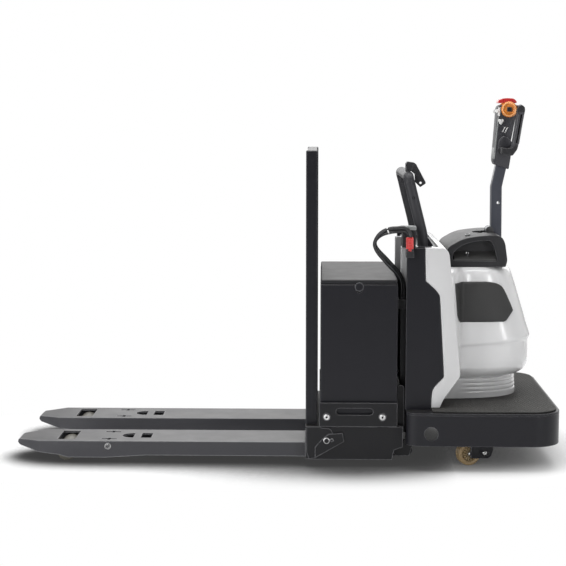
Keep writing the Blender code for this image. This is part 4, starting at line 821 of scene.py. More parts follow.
def body_loft(levels):
    """The rear body's open skin through its levels, closed at the top."""
    bm = bmesh.new()
    rings = []
    for z in levels:
        line = body_line(z)
        outline = line + [(x, -y) for x, y in reversed(line[:-1])]
        rings.append([bm.verts.new((x, y, z + crease_rise(x, z))) for x, y in outline])
    for low, high in zip(rings, rings[1:]):
        for i in range(len(low) - 1):
            bm.faces.new((low[i], low[i + 1], high[i + 1], high[i]))
    bm.faces.new(rings[-1])
    return mesh_of(bm)


def cover_levels(z):
    """Heights for the loft: close together at the ribs, the undercut and the top."""
    levels = []
    while z < COVER_TOP - 0.0005:
        levels.append(z)
        near = z < 0.4 or 0.48 < z < 0.508 or z > 0.785
        z += 0.00125 if z < 0.345 else 0.0025 if near else 0.012
    return levels + [COVER_TOP - 0.0005]


def wing_outline(inset=0.0):
    """Side view of the wings, or of the hollow a given depth inside them."""
    rear = [(0.13, MAT_TOP + 0.0003), (0.142, 0.283), (0.213, 0.384), (0.162, 0.883),
            (0.155, 0.9), (0.141, UNIT_TOP)]
    if inset:
        rear = [(x - inset, min(z, UNIT_TOP - inset)) for x, z in rear]
        rear[0] = (rear[0][0], 0.2)
        return from_unit([(-0.1, 0.2), *rear, (-0.1, UNIT_TOP - inset)])
    seam = [(x + 0.0015, z) for x, z in SEAM]
    return rounded(from_unit(rear + seam[::-1]),
                   [0.004, 0.03, 0.012, 0.012, 0.008, 0.01, 0.003, 0.006, 0.012, 0.01, 0.012,
                    0.02, 0.012, 0.004])


def make_cover():
    """Full-width wings and the blunt body behind them."""
    outer = UNIT_HALF - 0.002
    wing = rounded_mesh(plate(wing_outline(), -outer, outer), 0.009, 4, 40)
    hollow = plate(wing_outline(COVER_SKIN), COVER_SKIN - outer, outer - COVER_SKIN)
    deck = box_mesh((UNIT_X - 0.1, -0.35, 0.88), (UNIT_X + 0.122, 0.35, 1.0))
    # Wings in the darker copy of the cover's white, body in the lighter copy: painted shade and
    # painted light.
    piece("cover_wings", carve(wing, [hollow, deck]), "wing_white_painted_darker", "power_unit",
          "motor_cover", (0.0012, 2, 50), True)
    body = piece("cover_body", body_loft(cover_levels(MAT_TOP + 0.0003)), "body_white_painted_lighter",
                 "power_unit", "motor_cover")
    thicken(body, 0.005)


# Height and distance behind the unit's front
PAD_FRONT = [(0.587, 0.222), (0.6, 0.213), (0.62, 0.205), (0.757, 0.193)]
PAD_REAR = [(0.587, 0.405), (0.592, 0.417), (0.632, 0.448), (0.66, 0.437), (0.707, 0.415),
            (0.725, 0.405), (0.739, 0.393), (0.748, 0.376), (0.754, 0.352), (0.757, 0.325)]
PAD_RIM, PAD_PUFF = 0.008, 0.0066


def surface_y(x, z):
    """How far the body's skin is from the middle plane at a place in side view."""
    line = body_line(z, ribs=False)
    for (x1, y1), (x2, y2) in zip(line, line[1:]):
        if x1 <= x <= x2:
            return y1 + (y2 - y1) * (x - x1) / max(x2 - x1, 1e-9)
    return line[-1][1]


def closer_to_rim(i, count):
    return 0.5 - 0.5 * math.cos(math.pi * i / count)


def make_knee_pad(side_name, side):
    """A soft pad with a rounded rim that follows the cover."""
    rows, columns = 26, 40
    low_z, high_z = PAD_FRONT[0][0], PAD_FRONT[-1][0]
    bm = bmesh.new()
    grid = []
    for i in range(rows + 1):
        z = low_z + (high_z - low_z) * closer_to_rim(i, rows)
        left, right = interpolated(PAD_FRONT, z)[0], interpolated(PAD_REAR, z)[0]
        line = []
        for j in range(columns + 1):
            s = closer_to_rim(j, columns)
            x = UNIT_X + left + (right - left) * s
            edge = min(s * (right - left), (1 - s) * (right - left), z - low_z, high_z - z)
            rise = min(edge / PAD_RIM, 1.0)
            puff = PAD_PUFF * math.sqrt(max(1 - (1 - rise) ** 2, 0))
            line.append(bm.verts.new((x, side * (surface_y(x, z) + 0.0004 + puff), z)))
        grid.append(line)
    for low, high in zip(grid, grid[1:]):
        for j in range(columns):
            bm.faces.new((low[j], low[j + 1], high[j + 1], high[j]))
    bmesh.ops.recalc_face_normals(bm, faces=bm.faces)
    if side * sum(face.normal.y for face in bm.faces) < 0:
        bmesh.ops.reverse_faces(bm, faces=bm.faces)
    pad = piece(f"soft_knee_pad_{side_name}", as_mesh(bm), "soft_pad", "power_unit",
                f"knee_pad_{side_name}", replaces=True)
    thicken(pad, 0.0018)


# Console

CONSOLE_HALF = CONSOLE_HIGH.y
POCKET_DEPTH = 0.045
WELL_RADIUS, COLUMN_RADIUS, KEY_BORE_RADIUS = 0.066, 0.022, 0.0084


def make_console():
    """The instrument dome: arched lip, recessed pockets and the tiller's well."""
    corners = [(0.18, COVER_TOP), (0.168, 0.85), (0.163, 0.884), (0.178, 0.902),
               (0.226, 0.929), (0.257, 0.938), (0.3, 0.944), (0.35, 0.948), (0.376, 0.948),
               (0.398, 0.938), (0.41, 0.912), (0.42, 0.84), (0.412, COVER_TOP)]
    outline = rounded([(x, z + 0.0003) for x, z in from_unit(corners)],
                      [0.002, 0.012, 0.014, 0.016, 0.02, 0.02, 0.02, 0.012, 0.012, 0.014, 0.02,
                       0.015, 0.002])
    dome = rounded_mesh(plate(outline, -CONSOLE_HALF, CONSOLE_HALF), 0.015, 5, 50)
    pocket = rounded(from_unit([(0.19, 0.842), (0.192, 0.874), (0.222, 0.903), (0.262, 0.918),
                                (0.3, 0.925), (0.35, 0.926), (0.366, 0.89), (0.378, 0.838)]),
                     [0.012, 0.02, 0.02, 0.02, 0.02, 0.012, 0.01, 0.012])
    key, (key_low, key_high) = middle_of("key_switch"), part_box("key_switch")
    cutters = [plate(pocket, *sorted((sign * (CONSOLE_HALF - POCKET_DEPTH),
                                      sign * (CONSOLE_HALF + 0.02)))) for sign in (-1, 1)]
    cutters += [drill(WELL_RADIUS, 0.8717, 1.0, upright(TILLER_X), 48),
                drill(COLUMN_RADIUS, 0.829, 0.88, upright(TILLER_X), 32),
                box_mesh((UNIT_X + 0.296, -0.06, 0.94), (UNIT_X + 0.33, 0.06, 0.96)),
                drill(KEY_BORE_RADIUS, key_low.y - 0.01, key_high.y + 0.002,
                      sideways(key.x, key.z, 1), 32)]
    piece("console_dome", carve(dome, cutters), "moulded_dark", "power_unit", "console",
          (0.0025, 3, 40), True)
    for side_name, sign in SIDES.items():
        inner = sign * (CONSOLE_HALF - POCKET_DEPTH - 0.0005)
        outer = sign * (CONSOLE_HALF - 0.002)
        with making(f"pocket_ledge_{side_name}", "soft_pad", "power_unit", "console",
                    (0.0015, 2)) as bm:
            prism(bm, [(inner, 0.837), (outer, 0.837), (outer, 0.845), (inner, 0.879)],
                  UNIT_X + 0.197, UNIT_X + 0.373, "YZ")


def make_gauge():
    """The charge gauge: a leaning bezel and its bars."""
    spot, top = middle_of("charge_gauge"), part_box("charge_gauge")[1].z
    lean = (upright(spot.x, spot.y, top - 0.0035)
            @ Matrix.Rotation(math.radians(-10), 4, "Y"))
    with making("gauge_bezel", "grey_plate", "power_unit", "charge_gauge", (0.002, 3),
                True) as bm:
        block(bm, (-0.011, -0.022, -0.004), (0.011, 0.022, 0.0012))
        bm.transform(lean)
    with making("gauge_bars", "moulded_dark", "power_unit", "charge_gauge", (0.0004, 1)) as bm:
        for i in range(5):
            y = -0.017 + 0.0072 * i
            block(bm, (-0.007, y, 0.0006), (0.007, y + 0.0052, 0.0017))
        bm.transform(lean)


def make_key():
    """The key switch: a steel barrel, its blade and the key's bow."""
    spot = middle_of("key_switch")
    x, z = spot.x, spot.z
    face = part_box("key_switch")[0].y + 0.022
    with making("key_barrel", "zinc", "key", "key_switch", (0.0006, 2), True) as bm:
        lathe(bm, [(0.0078, -0.02), (0.0078, 0.003), (0.007, 0.0052), (0.0052, 0.006)],
              sideways(x, z, -1, face), 32)
        block(bm, (x - 0.0014, face - 0.0145, z - 0.0085), (x + 0.0014, face - 0.005, z + 0.0085))
    bow = rounded([(z - 0.0095, face - 0.0215), (z + 0.0095, face - 0.0215),
                   (z + 0.0095, face - 0.011), (z - 0.0095, face - 0.011)], 0.004)
    with making("key_bow", "moulded_dark", "key", "key_switch", (0.0008, 2)) as bm:
        prism(bm, [(y, z) for z, y in bow], x - 0.003, x + 0.003, "YZ")


# Platform

SKIRT_LOW, SKIRT_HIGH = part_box("platform_skirt")
PLATFORM_CORNER, CORNER_STEPS = 0.12, 24
TIE_DOWN_HOLE = (UNIT_X + 0.0906, 0.1595)
TIE_DOWN_RADIUS = 0.028
SKIRT_WALL = 0.012
SKIRT_FRONT = UNIT_X - 0.009
OPENING_RADIUS = 0.165
MAT_MARGIN = 0.012
STUD_PITCH, STUD_RADIUS, STUD_HEIGHT = 0.0155, 0.0042, 0.0008


def platform_line(inset, front):
    """Half top view of the platform: wide, with a round rear corner."""
    half, rear, radius = SKIRT_HIGH.y - inset, SKIRT_HIGH.x - inset, PLATFORM_CORNER - inset
    edge = [(front, half - 0.04), (front + 0.043, half - 0.008), (UNIT_X + 0.21, half)]
    edge[1:] = [tuple(p) for p in smooth(edge, 4)[1:]]
    return edge + arc((rear - radius, half - radius), radius, 90, 0, CORNER_STEPS)


def drive_opening(low, high):
    return drill(OPENING_RADIUS, low - 0.02, high + 0.02, upright(middle_of("drive_unit").x), 48)


def make_platform():
    """The pressed bumper with its tie-down holes, the deck and the mat."""
    outer, inner = platform_line(0, SKIRT_FRONT), platform_line(SKIRT_WALL, SKIRT_FRONT)
    band = mirrored(outer) + [(x, -y) for x, y in inner] + inner[::-1]
    hole = drill(TIE_DOWN_RADIUS, -0.6, 0.6, sideways(*TIE_DOWN_HOLE, -1), 48)
    wall = carve(plate(band, SKIRT_LOW.z, SKIRT_HIGH.z, "XY"), [hole])
    piece("bumper_wall", wall, "black_paint", "power_unit", "platform_skirt", (0.004, 4, 50),
          True)
    low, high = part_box("platform_deck")
    half, notch = UNIT_HALF - 0.009, UNIT_X + 0.009
    outline = mirrored(outer) + [(SKIRT_FRONT, -half), (notch, -half), (notch, half),
                                 (SKIRT_FRONT, half)]
    deck = carve(plate(outline, low.z, high.z, "XY"), [drive_opening(low.z, high.z)])
    piece("deck_plate", deck, "black_paint", "power_unit", "platform_deck", (0.0025, 3, 50), True)
    make_mat()


def make_mat():
    """The rubber mat, with rows of small raised studs round the cover."""
    low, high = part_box("platform_mat")
    front, half = UNIT_X + 0.095, SKIRT_HIGH.y - MAT_MARGIN
    line = ([(front, half - 0.01), (UNIT_X + 0.21, half)]
            + platform_line(MAT_MARGIN, front)[-CORNER_STEPS:])
    mat = carve(plate(mirrored(line), low.z, high.z - STUD_HEIGHT, "XY"),
                [drive_opening(low.z, high.z)])
    piece("rubber_mat", mat, "mat_rubber", "power_unit", "platform_mat", (0.003, 3, 50), True)
    neck = body_line(MAT_TOP + 0.012)
    rows = int(half / STUD_PITCH)
    with making("mat_studs", "mat_rubber", "power_unit", "platform_mat") as bm:
        for i in range(int((line[-1][0] - front) / STUD_PITCH) + 1):
            for j in range(-rows, rows + 1):
                x, y = front + STUD_PITCH * (i + 0.5 * (j % 2)), STUD_PITCH * j
                if on_mat(x, abs(y), neck, line):
                    add_stud(bm, x, y, high.z)


def add_stud(bm, x, y, top):
    """A four-sided stud with a flat top."""
    foot, cap = ([bm.verts.new((x + r * a, y + r * b, z))
                  for a, b in ((1, 0), (0, 1), (-1, 0), (0, -1))]
                 for r, z in ((STUD_RADIUS, top - STUD_HEIGHT - 0.0002),
                              (STUD_RADIUS * 0.6, top)))
    bm.faces.new(cap)
    bridge(bm, foot, cap)
    bm.faces.new(foot[::-1])


def on_mat(x, y, neck, line):
    """Whether a stud stands on bare mat, clear of its rim and of the cover."""
    if x < UNIT_X + 0.135 + MAT_MARGIN and y < UNIT_HALF + MAT_MARGIN:
        return False
    for (x1, y1), (x2, y2) in zip(neck, neck[1:]):
        if x1 <= x <= x2 and y < max(y1, y2) + MAT_MARGIN and x < neck[-1][0] + MAT_MARGIN:
            return False
    rear, half = line[-1][0], max(point[1] for point in line)
    if y > half - MAT_MARGIN or x > rear - MAT_MARGIN or x < line[0][0] + MAT_MARGIN:
        return False
    radius = PLATFORM_CORNER - MAT_MARGIN
    dx, dy = x - (rear - radius), y - (half - radius)
    return not (dx > 0 and dy > 0 and math.hypot(dx, dy) > radius - MAT_MARGIN)


# Tiller

HEAD_HALF = 0.046
HEAD_SHELL_TOP = HEAD_TOP - 0.028
GRIP_Y = 0.13
STEM_X = TILLER_X + 0.05
THROTTLE = middle_of("throttle")


def tiller(points):
    return [(TILLER_X + x, z) for x, z in points]


def both_sides(sign, inner, outer):
    """Two distances from the middle plane, as the lower and upper Y of one side."""
    return sorted((sign * inner, sign * outer))


def make_head():
    """Control head: housing, hand loops, a pale strip painted in as a highlight, and printed
    marks.
    """
    top = HEAD_SHELL_TOP
    outline = rounded(tiller([(0.001, 1.237), (0.061, 1.2165), (0.0705, 1.278), (0.068, 1.33),
                              (0.08, 1.44), (0.085, top - 0.004), (0.078, top),
                              (0.022, top), (0.01, top - 0.01), (-0.005, 1.253)]),
                      [0.006, 0.006, 0.02, 0.03, 0.03, 0.008, 0.008, 0.012, 0.016, 0.006])
    housing = rounded_mesh(plate(outline, -HEAD_HALF, HEAD_HALF), 0.007, 4, 40)
    room = tiller([(-0.0003, 1.19), (0.06, 1.19), (0.0665, 1.2905), (0.0195, 1.2905),
                   (0.0015, 1.205)])
    cutters = [plate(room, -0.0265, 0.0265),
               drill(0.0078, -0.06, 0.06, sideways(THROTTLE.x, THROTTLE.z, -1)),
               drill(0.0075, top - 0.018, top + 0.01, upright(STEM_X))]
    for name, sign in (("horn_button", -1), ("lift_button", -1), ("lower_button", 1)):
        low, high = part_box(name)
        spot = (low + high) / 2
        cutters.append(drill((high.z - low.z) / 2 + 0.0005, 0.034, 0.06,
                             sideways(spot.x, spot.z, sign)))
    piece("head_housing", carve(housing, cutters), "head_plastic", "tiller", "tiller_head",
          (0.0015, 2, 45), True)
    for side_name, sign in SIDES.items():
        make_hand_loop(side_name, sign)
    make_head_front_and_marks()


# Label, outline, corner radii, distance of both faces, finish, edge and its segments
LOOP_SLABS = (
    ("loop_grip", [(0.056, 1.3), (0.085, 1.306), (0.113, 1.466), (0.112, 1.479),
                   (0.101, 1.489), (0.088, 1.486), (0.079, 1.47), (0.073, 1.411)],
     [0.006, 0.01, 0.012, 0.01, 0.01, 0.01, 0.012, 0.03], 0.1178, 0.1422, "head_plastic",
     0.0055, 4),
    ("loop_foot", [(0.0185, 1.285), (0.0635, 1.276), (0.087, 1.309), (0.08, 1.332),
                   (0.058, 1.306), (0.018, 1.312)],
     [0.004, 0.008, 0.01, 0.01, 0.012, 0.004], 0.0362, 0.1428, "moulded_dark", 0.006, 4),
    ("loop_flare", [(0.011, 1.3), (0.013, 1.338), (0.034, 1.362), (0.058, 1.35),
                    (0.076, 1.326), (0.06, 1.302), (0.036, 1.294)],
     [0.006, 0.008, 0.01, 0.012, 0.008, 0.01, 0.01], 0.0445, 0.061, "head_plastic",
     0.0075, 4),
    ("grip_cap", [(0.08, 1.458), (0.1118, 1.458), (0.1132, 1.468), (0.1122, 1.4795),
                  (0.101, 1.4893), (0.0878, 1.4863), (0.0788, 1.4705)],
     [0.003, 0.003, 0.008, 0.01, 0.01, 0.01, 0.01], 0.1172, 0.1428, "moulded_dark",
     0.0055, 4),
    # The groove is painted near-black as shade.
    ("grip_groove", [(0.0765, 1.33), (0.0825, 1.33), (0.1015, 1.45), (0.095, 1.45)],
     0.002, 0.14, 0.1426, "painted_shade_black", 0.0006, 2),
    *((f"grip_facet_{label}", [(x, 1.326), (x + 0.0042, 1.326), (x + 0.0232, 1.45),
                               (x + 0.019, 1.45)],
       0.0015, 0.1398, 0.143, "grip_edge", 0.0012, 2)
      for label, x in (("front", 0.064), ("rear", 0.086))))


def make_hand_loop(side_name, sign):
    """The bow each side of the head: a round arm, a broad flat grip and a broad foot."""
    arm = [(0.08, 0.018, 1.472), (0.1015, 0.04, 1.4795), (0.102, 0.066, 1.4815),
           (0.1, 0.1, 1.481), (0.097, GRIP_Y, 1.474)]
    with making(f"loop_arm_{side_name}", "head_plastic", "tiller", "tiller_head") as bm:
        sweep(bm, smooth([(TILLER_X + x, sign * y, z) for x, y, z in arm], 7), ring(0.0098, 24),
              Vector((1, 0, 0.15)))
    for label, corners, radii, inner, outer, finish, edge, segments in LOOP_SLABS:
        slab = plate(rounded(tiller(corners), radii), *both_sides(sign, inner, outer))
        piece(f"{label}_{side_name}", rounded_mesh(slab, edge, segments, 40), finish, "tiller",
              "tiller_head")


def make_head_front_and_marks():
    """The pale strip down the head's front, a painted highlight on that face, its lamp, and the
    marks on its sides.
    """
    strip = [(-0.0052, 1.262), (0.001, 1.262), (0.0158, 1.44), (0.0098, 1.443)]
    lamp = [(0.0098, 1.443), (0.0205, 1.443), (0.0215, 1.4795), (0.0115, 1.4795)]
    for name, corners, radius, proud, finish, edge in (
            # The strip is a painted highlight on the head's front face.
            ("head_front_highlight", strip, 0.001, 0.0004, "grey_plate", 0.0012),
            ("head_lamp", lamp, 0.0015, 0.0006, "pale_plastic", 0.0015)):
        half = HEAD_HALF + proud
        piece(name, plate(rounded(tiller(corners), radius, 3), -half, half), finish, "tiller",
              "tiller_head", (edge, 2))
    with making("head_marks", "pale_plastic", "tiller", "tiller_head") as bm:
        for sign in (-1, 1):
            for k in range(2):
                x, z = TILLER_X + 0.029 + 0.0105 * k, 1.374 - 0.002 * k
                mark = [(x, z), (x + 0.005, z), (x + 0.016, z + 0.0235),
                        (x + 0.011, z + 0.0235)]
                prism(bm, mark, *both_sides(sign, HEAD_HALF - 0.001, HEAD_HALF + 0.0003))


def make_throttle():
    """Knurled thumb wheels on one shaft, each with a square hub cap."""
    low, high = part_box("throttle")
    x, z = THROTTLE.x, THROTTLE.z
    radius, inner, outer = (high.z - low.z) / 2, HEAD_HALF + 0.001, high.y - 0.004
    wheel = [(0.012, inner), (radius - 0.004, inner), (radius - 0.0008, inner + 0.003),
             (radius - 0.0008, outer - 0.0045), (radius - 0.004, outer - 0.001),
             (radius * 0.72, outer - 0.001), (radius * 0.68, outer - 0.003),
             (radius * 0.4, outer - 0.003)]
    rim = [(radius * 0.74, outer - 0.003), (radius * 0.75, outer - 0.0006),
           (radius * 0.86, outer - 0.0006), (radius * 0.87, outer - 0.003)]
    with making("thumb_wheels", "orange_plastic", "throttle", "throttle", replaces=True) as bm:
        lathe(bm, [(0.0068, -0.06), (0.0068, 0.06)], sideways(x, z, -1), 24)
        for sign in (-1, 1):
            lathe(bm, wheel, sideways(x, z, sign), 120, lambda a, i: 1 + (
                0.012 * math.cos(a * 30) if i in (2, 3) else 0))
    with making("thumb_caps", "moulded_dark", "throttle", "throttle", (0.0015, 2)) as bm:
        for sign in (-1, 1):
            a, b = both_sides(sign, outer - 0.004, high.y)
            block(bm, (x - 0.0095, a, z - 0.0095), (x + 0.0095, b, z + 0.0095))
    with making("thumb_rims", "orange_rim", "throttle", "throttle") as bm:
        for sign in (-1, 1):
            lathe(bm, rim, sideways(x, z, sign), 72, hoop=True)


def make_reverse_button():
    """The red belly button: a low crowned cap on its stem."""
    low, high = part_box("reverse_button")
    top, foot = HEAD_TOP, HEAD_TOP - 0.0215
    outline = rounded(tiller([(0.0115, foot), (0.091, foot), (0.0915, foot + 0.007),
                              (0.08, top - 0.002), (0.056, top), (0.034, top - 0.001),
                              (0.0145, top - 0.009)]),
                      [0.003, 0.003, 0.006, 0.02, 0.02, 0.016, 0.012], 6)
    piece("red_button", rounded_mesh(plate(outline, low.y, high.y), 0.007, 5, 40), "red_plastic",
          "reverse_button", "reverse_button", replaces=True)
    piece("red_button_stem", drill(0.0068, top - 0.0335, top - 0.018, upright(STEM_X)),
          "dark_bolt", "reverse_button", "reverse_button")


def make_side_buttons():
    """Horn, lift and lower: crowned caps set in the head's sides, the broad one three-lobed."""
    for name in ("horn_button", "lift_button", "lower_button"):
        low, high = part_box(name)
        spot, radius = (low + high) / 2, (high.z - low.z) / 2
        lobe = 0.34 if radius > 0.01 else 0.0
        profile = [(radius - 0.0003, HEAD_HALF - 0.006), (radius - 0.0003, HEAD_HALF + 0.0022),
                   (radius - 0.0012, HEAD_HALF + 0.0034), (radius * 0.6, HEAD_HALF + 0.004),
                   (radius * 0.2, HEAD_HALF + 0.004)]
        with making(f"{name}_cap", "pale_plastic", name, name, replaces=True) as bm:
            lathe(bm, profile, sideways(spot.x, spot.z, 1 if spot.y > 0 else -1), 48,
                  lambda a, i: 1 - lobe * (0.5 + 0.5 * math.cos(3 * a + 1.57)))


# Bars, cables and connector

BAR_Y = 0.3
BAR_FOOT_X = UNIT_X + 0.0585


def make_grab_bar():
    """The bent bar with its gussets and feet."""
    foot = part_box("grab_bar")[0].z
    leg = [(0.0585, foot + 0.001), (0.057, 0.95), (0.048, 0.993), (0.025, 1.083),
           (0.0065, 1.157), (-0.0005, 1.184)]
    half = [(x, BAR_Y, z) for x, z in from_unit(leg)]
    half += [(UNIT_X - 0.002, BAR_Y - inward, 1.197) for inward in (0.03, 0.15)]
    route = half + [(x, -y, z) for x, y, z in reversed(half)]
    with making("bent_bar", "tube_paint", "power_unit", "grab_bar", replaces=True) as bm:
        sweep(bm, smooth(route, 6), ring(0.0188, 32, 1.18), Vector((1, 0, 0.2)))
    for side_name, sign in SIDES.items():
        make_bar_foot(side_name, sign, foot)


def make_bar_foot(side_name, sign, foot):
    """A leg's gusset, plate, bolts and weld, and the dimple at its bend, painted near-black as
    shade.
    """
    x, y = BAR_FOOT_X, sign * BAR_Y
    gusset = rounded([(x + 0.01, foot + 0.003), (x + 0.048, foot + 0.003),
                      (x + 0.017, 0.953), (x + 0.008, 0.955)], 0.002, 3)
    with making(f"bar_foot_{side_name}", "black_paint", "power_unit", "grab_bar",
                (0.0015, 2)) as bm:
        prism(bm, gusset, y - 0.003, y + 0.003)
        block(bm, (x - 0.031, y - 0.031, foot), (x + 0.049, y + 0.031, foot + 0.006))
    with making(f"bar_bolts_{side_name}", "zinc", "power_unit", "grab_bar") as bm:
        for dx, dy in ((-0.024, 0.024), (-0.024, -0.024), (0.04, 0.022), (0.04, -0.022)):
            hex_bolt(bm, (x + dx, y + dy, foot + 0.0055), UP, 0.0045, 0.0045)
    with making(f"bar_weld_{side_name}", "tube_paint", "power_unit", "grab_bar") as bm:
        weld_bead(bm, [(x + 0.0245 * math.cos(a), y + 0.0215 * math.sin(a), foot + 0.0065)
                       for a in (2 * math.pi * i / 28 for i in range(29))], 0.0028)
    # Painted shade: a near-black disc in the dimple.
    with making(f"bar_dimple_shade_{side_name}", "painted_shade_black", "power_unit", "grab_bar") as bm:
        lathe(bm, [(0.0058, 0), (0.0058, 0.0008), (0.0046, 0.001), (0.0038, 0.0002)],
              axis_frame((UNIT_X + 0.0185, sign * (BAR_Y + 0.0183), 1.11), (0, sign, 0)), 24)


CABLE_RADIUS = 0.0075
CABLE_APART = 0.0156
PLUG_X = -0.00175
PLUG_Y = -UNIT_HALF - 0.0163
PLUG_BEND = 0.029
CABLE_END_Y = -0.311 - PLUG_Y
CABLE_DROP_X = -0.0222
CABLE_FOOT = 0.7003
# Places from the plug down to the battery's elbow, with the pair's turn in degrees
CABLE_BOW = [
    (-0.052, 0.001, 0.9868, 24), (-0.076, 0.004, 0.9845, 18), (-0.099, 0.01, 0.9775, 30),
    (-0.119, 0.018, 0.9655, 55), (-0.134, 0.028, 0.948, 78), (-0.141, 0.039, 0.93, 85),
    (-0.1375, 0.051, 0.911, 76), (-0.1235, 0.063, 0.889, 60), (-0.103, 0.074, 0.866, 48),
    (-0.082, 0.084, 0.842, 42), (-0.0625, 0.092, 0.8215, 46), (-0.043, 0.099, 0.8, 54),
    (-0.0285, 0.104, 0.775, 58), (-0.0228, CABLE_END_Y, 0.745, 50),
    (CABLE_DROP_X, CABLE_END_Y, 0.715, 45), (CABLE_DROP_X, CABLE_END_Y, CABLE_FOOT, 45)]


def pair_line():
    """The line midway between the leads, out of the plug's top and down to the battery."""
    exit_z = PLUG_HIGH.z + 0.0003
    bend = arc((PLUG_X - PLUG_BEND, exit_z + 0.002), PLUG_BEND, 0, 90, 6)
    line = [(PLUG_X, 0.0, exit_z, 75)]
    line += [(x, 0.0, z, 75 - 9 * i) for i, (x, z) in enumerate(bend)] + CABLE_BOW
    return [Vector((UNIT_X + x, PLUG_Y + y, z, turn)) for x, y, z, turn in line]


def pair_axes(line, i):
    """From one lead to its twin, and square to both, at a point of the line."""
    before, after = line[max(i - 1, 0)].to_3d(), line[min(i + 1, len(line) - 1)].to_3d()
    along = UP if i < 2 else (after - before).normalized()
    across = along.cross(Vector((0, 1, 0))).normalized()
    angle = math.radians(line[i][3])
    pair = across * math.cos(angle) + across.cross(along) * math.sin(angle)
    return pair, along.cross(pair)


def cable_route(index):
    """One lead's line beside its twin, as the frame has it."""
    line, side = pair_line(), (index - 0.5) * CABLE_APART
    return [point.to_3d() + pair_axes(line, i)[0] * side for i, point in enumerate(line)]


def length_of(path):
    return sum((Vector(b) - Vector(a)).length for a, b in zip(path, path[1:]))


def pair_band(name, finish, line, first, last, size):
    """An oval band round both leads; size(share) gives its long and short half widths."""
    with making(name, finish, "power_unit", "battery_cable_positive") as bm:
        loops = []
        for k in range(first, last + 1):
            pair, square = pair_axes(line, k)
            long_half, short_half = size((k - first) / (last - first))
            loops.append([bm.verts.new(line[k].to_3d() + pair * a * long_half
                                       + square * b * short_half) for a, b in ring(1.0, 28)])
        skin(bm, loops)


def make_cables():
    """The twin battery leads, their ties and their sleeves."""
    for index, name in enumerate(("battery_cable_positive", "battery_cable_negative")):
        path = smooth(cable_route(index), 5)
        bm = bmesh.new()
        sweep(bm, path, ring(CABLE_RADIUS, 18), Vector((0, 1, 0.05)))
        lead = piece(f"lead_{index + 1}", mesh_of(bm), "cable_rubber", None, name, replaces=True)
        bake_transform(lead)
        round(length_of(path), 3)
    line = smooth(pair_line(), 5)
    reach, band = CABLE_APART / 2 + CABLE_RADIUS, CABLE_RADIUS + 0.001
    upper = next(k for k, p in enumerate(line) if p.x < UNIT_X - 0.084)
    lower = next(k for k, p in enumerate(line) if p.z < 0.835 and p.x < UNIT_X - 0.06)
    for name, finish, tie in (("tie_pale", "pale_plastic", upper),
                              ("tie_dark", "moulded_dark", lower)):
        pair_band(name, finish, line, tie, tie + 1, lambda share: (reach + 0.001, band))
    pair_band("plug_boot", "moulded_dark", line, 0, 12, lambda share: (
        reach + 0.0022 - 0.0018 * share + 0.0004 * math.cos(share * 24),
        CABLE_RADIUS + 0.0024 - 0.0018 * share))
    with making("elbow_sleeves", "moulded_dark", "carriage", "battery_gland") as bm:
        for index in range(2):
            lathe(bm, [(0.0086, -0.0012), (0.0086, 0.001), (0.0083, 0.004), (0.0081, 0.0045),
                       (0.0081, 0.008), (0.0078, 0.0085), (0.0077, 0.0135)],
                  Matrix.Translation(cable_route(index)[-1]), 28)


def make_connector():
    """Holder with its pale top plate, and the ribbed red plug on its two feet."""
    low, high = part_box("connector_holder")
    with making("plug_holder", "moulded_dark", "power_unit", "connector_holder", (0.003, 3),
                True) as bm:
        block(bm, (UNIT_X - 0.031, -UNIT_HALF, UNIT_TOP + 0.0003),
              (UNIT_X + 0.024, -0.348, 0.9845))
    lid = rounded([(low.x, 0.986), (high.x, 0.9845), (high.x, high.z), (low.x + 0.012, high.z),
                   (low.x, high.z - 0.006)], 0.003, 4)
    piece("holder_lid", plate(lid, low.y + 0.001, high.y), "grey_plate", "power_unit",
          "connector_holder", (0.0015, 2))
    x1, x2, y1, y2 = PLUG_LOW.x, PLUG_HIGH.x, PLUG_LOW.y, PLUG_HIGH.y
    z1, z2 = PLUG_LOW.z, PLUG_HIGH.z
    with making("red_plug", "red_plastic", "power_unit", "connector_plug", (0.0045, 4),
                True) as bm:
        block(bm, (x1 + 0.001, y1 + 0.001, z1), (x2 - 0.001, y2, z2))
    with making("plug_ribs", "red_plastic", "power_unit", "connector_plug", (0.0008, 2)) as bm:
        for x in (x1 + 0.0035, x2 - 0.0035):
            prism(bm, rounded([(x - 0.0025, z1 + 0.004), (x + 0.0025, z1 + 0.004),
                               (x + 0.0025, z2 - 0.004), (x - 0.0025, z2 - 0.004)], 0.001, 3),
                  y1, y1 + 0.004)
        for k in range(6):
            z = z1 + 0.014 + 0.0065 * k
            block(bm, (x1 + 0.008, y1 + 0.0002, z), (x2 - 0.008, y1 + 0.003, z + 0.0028))
    with making("plug_feet", "moulded_dark", "power_unit", "connector_plug", (0.0012, 2)) as bm:
        for x in (x1 + 0.0003, x2 - 0.0093):
            block(bm, (x, y1 - 0.0002, z1 + 0.0002), (x + 0.009, y1 + 0.006, z1 + 0.0105))


# Wheels

CASTER_RADIUS, CASTER_HALF, CASTER_RIM, CASTER_RIBS = 0.0498, 0.02, 0.034, 14
ROLLER_RADIUS, ROLLER_HALF = 0.0408, 0.0745


def joint_of(child):
    return next(j for j in frame["joints"] if j["child"] == child)


def wheel_frame(node):
    """A frame on a wheel's own axle."""
    joint = joint_of(node)
    return axis_frame(joint["pos_m"], joint["axis"])


def flipped(at, sign):
    return at @ Matrix.Scale(sign, 4, (0, 0, 1))


def both_ends(half_profile):
    """A profile from one end to the middle, and its mirror image to the other end."""
    return half_profile + [(r, -z) for r, z in reversed(half_profile)]


